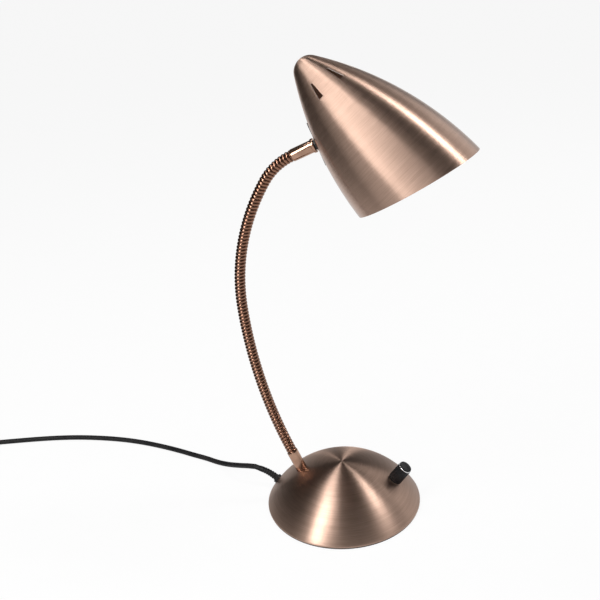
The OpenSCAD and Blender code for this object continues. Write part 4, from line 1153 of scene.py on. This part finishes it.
zinc = plain_metal("zinc_plated_steel", (0.46, 0.46, 0.44), (0.66, 0.66, 0.65), 0.26, 0.42)
black_iron = plain_metal("black_iron", (0.030, 0.028, 0.027), (0.075, 0.070, 0.066), 0.40, 0.58)
cast_iron = plain_metal("cast_iron", (0.050, 0.050, 0.052), (0.110, 0.108, 0.106), 0.55, 0.75, 0.0002, 160)
brass = plain_metal("plain_brass", (0.52, 0.36, 0.12), (0.74, 0.55, 0.24), 0.18, 0.34, 0.00001)
nylon = moulded("white_nylon", (0.74, 0.73, 0.70), (0.84, 0.83, 0.80), 0.40, 0.55)
porcelain = moulded("glazed_porcelain", (0.78, 0.76, 0.71), (0.87, 0.86, 0.82), 0.08, 0.20)
opal = moulded("opal_glass", (0.86, 0.85, 0.80), (0.93, 0.92, 0.89), 0.06, 0.14, 0.000004)
opal.node_tree.nodes["Principled BSDF"].inputs["Subsurface Weight"].default_value = 0.25
opal.node_tree.nodes["Principled BSDF"].inputs["Subsurface Scale"].default_value = 0.004
print("finishes so far:", len(bpy.data.materials))

# %% [markdown]
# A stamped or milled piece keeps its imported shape, with one change: no real edge is dead sharp. A
# copy of the node is merged, its flat faces are joined up, and every corner sharper than 35
# degrees gets a narrow bevel. Weighted normals then keep the large faces flat in the light.

# %% Copies with soft edges
def softened(node, name, body, finish, slot, width, segments=2):
    """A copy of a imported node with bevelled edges, shown in the node's place."""
    mesh = frame["nodes"][node].data.copy()
    mesh.materials.clear()
    shell = bmesh.new()
    shell.from_mesh(mesh)
    bmesh.ops.remove_doubles(shell, verts=shell.verts, dist=0.000002)
    bmesh.ops.dissolve_limit(shell, angle_limit=math.radians(0.5), verts=shell.verts, edges=shell.edges)
    corners = [e for e in shell.edges
               if e.is_manifold and abs(e.calc_face_angle()) > math.radians(sharp_angle)]
    bmesh.ops.bevel(shell, geom=corners, offset=width, segments=segments, profile=0.5,
                    affect="EDGES", clamp_overlap=True)
    for face in shell.faces:
        face.smooth = True
    shell.to_mesh(mesh)
    shell.free()
    mesh.materials.append(finish)
    made = bpy.data.objects.new(name, mesh)
    scene.collection.objects.link(made)
    made.modifiers.new("flat_faces", "WEIGHTED_NORMAL")
    return belongs(made, body, slot, node)


for node, name, body, finish, slot, width in [
        ("joint_bar", "flat_joint_bar", "head", black_iron, "iron", 0.00012),
        ("holder_bracket", "bent_bracket", "head", zinc, "steel", 0.00025),
        ("head_nut", "hex_nut_head", "head", zinc, "steel", 0.0003),
        ("head_nipple", "threaded_tube_head", "head", black_iron, "iron", 0.0002),
        ("holder_screws", "screws_holder", "head", zinc, "steel", 0.00012),
        ("switch_nut", "round_nut_switch", "base", zinc, "steel", 0.0002),
        ("plug_pins", "pins_plug", "base", zinc, "steel", 0.0003),
        ("coil_tie", "strap_coil", "base", plastic_black, "black_plastic", 0.00015)]:
    softened(node, name, body, finish, slot, width)
print("eight pieces have soft edges")

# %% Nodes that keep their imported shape
def dress(finish, *nodes):
    """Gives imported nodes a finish."""
    for node in nodes:
        mesh = frame["nodes"][node].data
        mesh.materials.clear()
        mesh.materials.append(finish)


dress(zinc, "base_plate", "centre_pillar", "centre_screw", "foot_nipple", "foot_washer", "foot_nut",
      "knob_shaft", "clamp_screws")
dress(cast_iron, "base_weight")
dress(plastic_black, "switch_body")
dress(nylon, "cord_clamp", "terminal_block")
dress(brass, "thread_shell", "centre_contact")
print("the foot's inner pieces are dressed")

# %% [markdown]
# ## Lampholder and bulb
#
# A small porcelain lampholder hangs inside the shade, with a globe bulb of opal glass. Both are
# turned. The bulb's brass cap carries a rolled thread, which is the wound tube's tree once more:
# a longer pitch, a shallower groove and a straight centre line.

# %% Lampholder
holder_low, holder_top = 0.04352, 0.07652
holder_r, shell_r = 0.013, 0.00832
waist_r = holder_r - 0.0015
holder = lathe("porcelain_holder", [
    (0, holder_low), (waist_r, holder_low, 0.0008), (waist_r, holder_low + 0.010, 0.0004),
    (holder_r, holder_low + 0.010, 0.0006), (holder_r, holder_low + 0.029, 0.0008),
    (waist_r, holder_low + 0.029, 0.0004), (waist_r, holder_top, 0.0010),
    (shell_r, holder_top, 0.0004), (shell_r, holder_top - 0.025), (0, holder_top - 0.025)],
    None, porcelain, 96)
lead_hole = Matrix.Translation((0.008, 0.002, holder_low + 0.005)) @ turned_y(90)
screws_apart = 0.009
holed(holder, [punch(lead_hole, 0.0019, 0, 0.010, porcelain), *[
    punch(Matrix.Translation((0, side * screws_apart / 2, holder_low)), 0.0013, -0.001, 0.006, porcelain)
    for side in (1, -1)]])
holder.data.transform(in_shade)
belongs(holder, "head", "porcelain", "lampholder")
print("the holder is", round(holder_top - holder_low, 4), "m long")

# %% Bulb
cap_low, shoulder = 0.05316, 0.07216
bulb_r, throat_r, flare_r = 0.0225, 0.00665, 0.0176
ball_z = shoulder + 0.056 - bulb_r
flare_low, flare_top = holder_top + 0.002, ball_z - 0.0135
globe = [(0, shoulder + hair), (throat_r, shoulder + hair, 0.0005), (throat_r, flare_low, 0.006),
         (flare_r, flare_top, 0.004)]
first = math.asin((flare_top - ball_z) / bulb_r) + 0.06
globe += [(bulb_r * math.cos(a), ball_z + bulb_r * math.sin(a))
          for a in [first + (math.pi / 2 - first) * k / 40 for k in range(40)]]
globe += [(0, ball_z + bulb_r)]
bulb = lathe("opal_bulb", globe, in_shade, opal, 96)
belongs(bulb, "head", "opal_glass", "bulb_glass")
print("the bulb is", 2 * bulb_r, "m across")

# %% Bulb's brass cap
thread_pitch = 0.00282
thread_start, thread_end = 0.003, 0.0165
thread_points = [in_shade @ Vector((0, 0, cap_low - lead_in + 0.0005 * k)) for k in range(70)]
thread = wound_piece("bulb_cap_thread", thread_points, thread_start, thread_end, brass, {
    "Ridged From": 0.0032, "Ridged To": 0.0163, "Wire Pitch": thread_pitch, "Crest Radius": 0.00695,
    "Groove Depth": 0.0005, "Bore Radius": 0.0055, "Sides": 64, "Rows Outside": 90, "Rows Inside": 4})
belongs(thread, "head", "brass", "bulb_cap")
skirt = lathe("bulb_cap_skirt", [
    (0.0054, shoulder - 0.0028), (0.00675, shoulder - 0.0028, 0.0003), (0.00692, shoulder - 0.0004, 0.0003),
    (0.00665, shoulder), (0.0054, shoulder), (0.0054, shoulder - 0.0028)], in_shade, brass, 64, loop=True)
belongs(skirt, "head", "brass", "bulb_cap")
foot = lathe("bulb_cap_foot", [
    (0, cap_low), (0.0022, cap_low, 0.0004), (0.0030, cap_low + 0.0004, 0.0004),
    (0.0058, cap_low + 0.0030, 0.0003), (0.0058, cap_low + 0.0034), (0, cap_low + 0.0034)],
    in_shade, brass, 64)
belongs(foot, "head", "brass", "bulb_cap")
print("the thread has", round((thread_end - thread_start) / thread_pitch, 1), "turns")

# %% [markdown]
# ## Leads inside the lamp
#
# The lead inside the neck has to bend where the neck bends, so it is cut like the wound tube. The
# wires that stay put are curves with a bevel, as the cord is.

# %% Lead inside the neck
lead_r = 0.0017


def rod(name, places, radius, finish, sides=16):
    """A round rod through frames, closed at both ends."""
    angles = [2 * math.pi * k / sides for k in range(sides)]
    ring = [Vector((radius * math.cos(a), radius * math.sin(a), 0)) for a in angles]
    rows = [[places[0].translation], *[[place @ p for p in ring] for place in places],
            [places[-1].translation]]
    lengths = [0.0] + [0.001 * k for k in range(len(places) + 1)]
    return as_object(name, net_mesh(name, rows, False, lengths), None, [finish])


lead_cuts = [-ferrule_l - 0.012, *cuts[1:-1], neck_l + joint_reach + 0.013]
for k, (start, end) in enumerate(zip(lead_cuts, lead_cuts[1:])):
    count = max(4, round((end - start) / 0.003))
    places = [neck_frame(start + (end - start) * i / count) for i in range(count + 1)]
    on_neck(rod(f"lead_in_neck_{k + 1}", places, lead_r, cord_black), k, "cord_black", "neck_lead")
print("the inner lead has", len(lead_cuts) - 1, "pieces")

# %% Wires that stay put
to_holder = [in_shade @ Vector(p) for p in [
    (0.02520, 0.0, 0.06238), (0.02337, 0.0, 0.06306), (0.01978, 0.0012, 0.06334), (0.01778, 0.003, 0.06014),
    (0.01718, 0.0034, 0.05504), (0.016, 0.0026, 0.04972), (0.0124, 0.002, 0.04852), (0.0096, 0.002, 0.04852)]]
into_foot = [(-0.06281, 0.03064, 0.00671), (-0.06208, 0.03028, 0.00613), (-0.05959, 0.02906, 0.0058),
             (-0.05545, 0.02705, 0.0058), (-0.05006, 0.02442, 0.0068), (-0.04494, 0.02192, 0.00934),
             (-0.03955, 0.01929, 0.01254), (-0.03415, 0.01666, 0.01394), (-0.02966, 0.01447, 0.01394),
             (-0.02517, 0.01227, 0.01394), (-0.02, 0.016, 0.01394), (-0.014, 0.021, 0.01394),
             (-0.009, 0.023, 0.01394)]
to_neck = [(-0.03497, 0.00743, 0.02367), (-0.03297, 0.00783, 0.02067), (-0.026, 0.012, 0.0205),
           (-0.018, 0.021, 0.018), (-0.0116, 0.0296, 0.01564), (-0.0076, 0.03, 0.01504)]
to_switch_1 = [(0.04031, -0.00562, 0.0138), (0.03631, -0.00462, 0.0134), (0.028, 0.008, 0.0144),
               (0.018, 0.022, 0.0148), (0.0096, 0.025, 0.01504)]
to_switch_2 = [(0.03772, -0.01528, 0.0138), (0.03372, -0.01428, 0.0134), (0.026, -0.002, 0.0144),
               (0.016, 0.012, 0.0148), (0.0096, 0.02, 0.01504)]
for name, points, width, body, node in [
        ("lead_to_holder", to_holder, 2 * lead_r, "head", "holder_lead"),
        ("lead_into_foot", into_foot, 0.0052, "base", "inlet_lead"),
        ("wire_to_neck", to_neck, 0.0024, "base", "base_wires"),
        ("wire_to_switch_1", to_switch_1, 0.0020, "base", "base_wires"),
        ("wire_to_switch_2", to_switch_2, 0.0020, "base", "base_wires")]:
    wire = tube_curve(name, through([Vector(p) for p in points], 8), width, cord_black)
    belongs(wire, body, "cord_black", node)
print("five more leads laid")

# %% [markdown]
# ## Plug
#
# A flat plug is moulded in one with its bend relief. Its sections go from a circle at the cord to
# a blunt oval at the face, so it is lofted: rings of points whose two half widths and bluntness
# change along the axis. The relief has ring grooves like the gland's sleeve.

# %% Plug
plug_face = 0.054
tail_end = Vector((coil_centre.x - tail_l, coil_centre.y + coil_inner + coil_turns * coil_step, plug_z))
at_plug = Matrix.Translation(tail_end) @ turned_y(-90)
sections = [(0.0, 0.0031, 0.0031, 2.0)]
for k in range(5):
    start = 0.0025 + 0.0032 * k
    for z, sink in [(start, 0), (start + 0.0002, 0.0006), (start + 0.0010, 0.0006), (start + 0.0012, 0)]:
        half = 0.0033 + 0.0015 * z / 0.022 - sink
        sections.append((z, half, half, 2.0))
sections += [
    (0.0195, 0.0047, 0.0047, 2.0), (0.0205, 0.0048, 0.0058, 2.2), (0.0225, 0.0053, 0.0068, 2.6),
    (0.0250, 0.0061, 0.0078, 3.2), (0.0275, 0.0066, 0.0086, 4.0), (0.0300, 0.0068, 0.0089, 4.6),
    (0.0345, 0.0068, 0.0091, 5.0), (0.0380, 0.0068, 0.0103, 5.0), (0.0430, 0.0068, 0.0122, 5.0),
    (0.0462, 0.0068, 0.0133, 5.0), (0.0490, 0.0068, 0.0135, 5.0), (0.0528, 0.0068, 0.0135, 5.0),
    (0.0535, 0.0066, 0.0133, 5.0), (0.0539, 0.0062, 0.0129, 5.0), (plug_face, 0.0057, 0.0124, 5.0)]


def blunt_ring(z, half_thick, half_wide, blunt, count=72):
    """A ring between a circle (blunt 2) and a rectangle with round corners."""
    ring = []
    for k in range(count):
        c, s = math.cos(2 * math.pi * k / count), math.sin(2 * math.pi * k / count)
        ring.append((half_thick * math.copysign(abs(c) ** (2 / blunt), c),
                     half_wide * math.copysign(abs(s) ** (2 / blunt), s), z))
    return ring


rows = [[(0, 0, 0)], *[blunt_ring(*section) for section in sections], [(0, 0, plug_face)]]
lengths = [0.0, *[section[0] for section in sections], plug_face]
plug = as_object("plug_moulded", net_mesh("plug_moulded", rows, False, lengths), at_plug, [plastic_black])
belongs(plug, "base", "black_plastic", "plug_body")
for side, name in [(-1, "pin_sleeve_left"), (1, "pin_sleeve_right")]:
    sleeve = lathe(name, [
        (0.00153, plug_face - 0.001), (0.002, plug_face - 0.001), (0.002, plug_face + 0.010, 0.0002),
        (0.00153, plug_face + 0.010), (0.00153, plug_face - 0.001)],
        at_plug @ Matrix.Translation((0, side * 0.0095, 0)), plastic_black, 48, loop=True)
    belongs(sleeve, "base", "black_plastic", "plug_body")
print("the plug is", round(plug_face, 3), "m long without its pins")

# %% [markdown]
# ## Floor and light
#
# A wide disc of white paper is the floor. The camera, mirrors and glass see it as white, while it
# still takes a little light and shadow as pale paper. The room is pale at the horizon and dim
# above, so the copper mirrors a dim room between the bright soft boxes.

# %% Floor
disc = bmesh.new()
bmesh.ops.create_circle(disc, cap_ends=True, cap_tris=True, segments=96, radius=40)
bmesh.ops.translate(disc, verts=disc.verts, vec=(0, 0, -0.0003))
paper_mesh = bpy.data.meshes.new("paper_floor")
disc.to_mesh(paper_mesh)
disc.free()
paper, tree, shader = new_finish("white_paper", Roughness=0.9)
vary(tree, shader, "Base Color", speckle(tree, 40), (0.80, 0.80, 0.80), (0.84, 0.84, 0.84))
path = add(tree, "ShaderNodeLightPath")
seen = calc(tree, "MAXIMUM", path.outputs["Is Camera Ray"],
            calc(tree, "MAXIMUM", path.outputs["Is Glossy Ray"], path.outputs["Is Transmission Ray"]))
glow_share = 0.92
white = add(tree, "ShaderNodeEmission", {"Color": (1, 1, 1, 1), "Strength": 1.0})
mix = add(tree, "ShaderNodeMixShader", [(0, calc(tree, "MULTIPLY", seen, glow_share)),
                                        (1, shader.outputs[0]), (2, white.outputs[0])])
tree.links.new(mix.outputs[0], tree.nodes["Material Output"].inputs["Surface"])
floor = bpy.data.objects.new("paper_floor", paper_mesh)
paper_mesh.materials.append(paper)
scene.collection.objects.link(floor)
print("paper laid")

# %% Room
world = bpy.data.worlds.new("room")
world.use_nodes = True
room = world.node_tree
ray = add(room, "ShaderNodeSeparateXYZ", {"Vector": add(room, "ShaderNodeTexCoord").outputs["Generated"]})
fade = add(room, "ShaderNodeValToRGB", {"Fac": ray.outputs["Z"]})
fade.color_ramp.elements.new(0.5)
for stop, place, grey in zip(fade.color_ramp.elements, (0.03, 0.28, 0.80), (0.90, 0.10, 0.06)):
    stop.position = place
    stop.color = (grey, grey, grey, 1)
room.links.new(fade.outputs["Color"], room.nodes["Background"].inputs["Color"])
scene.world = world
print("the room is dim above 16 degrees")

# %% [markdown]
# A mirror shows what stands round it, so a photographer sets a black card beside bright metal: it
# draws the dark bands between the bright ones. This one shows in reflections only. It casts no
# shadow and stays out of every view.

# %% Black card
card_black, tree, shader = new_finish("card_black", Roughness=0.9, Specular_IOR_Level=0.1)
vary(tree, shader, "Base Color", speckle(tree, 5), (0.020, 0.020, 0.020), (0.030, 0.030, 0.030))
card_mesh = bpy.data.meshes.new("left_card")
card_low, card_high = 0.001, 0.62
card_mesh.from_pydata([(-0.52, -0.22, card_low), (-0.40, 0.55, card_low), (-0.40, 0.55, card_high),
                       (-0.52, -0.22, card_high)], [], [(0, 1, 2, 3)])
card_mesh.materials.append(card_black)
card = bpy.data.objects.new("left_card", card_mesh)
scene.collection.objects.link(card)
card.visible_camera = card.visible_diffuse = card.visible_shadow = False
print("black card set")

# %% [markdown]
# Three soft boxes draw the bright bands: a tall narrow one at the front left, a small one high at
# the back left, and a strip high on the right. A wide dim one fills in from the back right. None is
# seen by the camera.

# %% Soft boxes
def soft_box(name, place, aim, size, power):
    """An area lamp that faces a point of the lamp."""
    data = bpy.data.lights.new(name, "AREA")
    data.shape = "RECTANGLE"
    data.size, data.size_y = size
    data.energy = power
    made = bpy.data.objects.new(name, data)
    place, aim = Vector(place), Vector(aim)
    made.matrix_world = (aim - place).to_track_quat("-Z", "Y").to_matrix().to_4x4()
    made.matrix_world.translation = place
    made.visible_camera = False
    scene.collection.objects.link(made)
    return made


lamp_middle = (0, 0, 0.2)
for name, place, size, power in [
        ("front_left_window", (-0.79, -0.72, 1.16), (0.38, 1.75), 22),
        ("overhead_left", (-0.48, 0.34, 1.53), (0.50, 0.26), 4),
        ("right_strip", (0.98, 0.03, 1.50), (0.17, 0.38), 9),
        ("back_right_fill", (1.25, 0.75, 1.0), (1.3, 0.9), 4)]:
    soft_box(name, place, lamp_middle, size, power)
print("lights set")
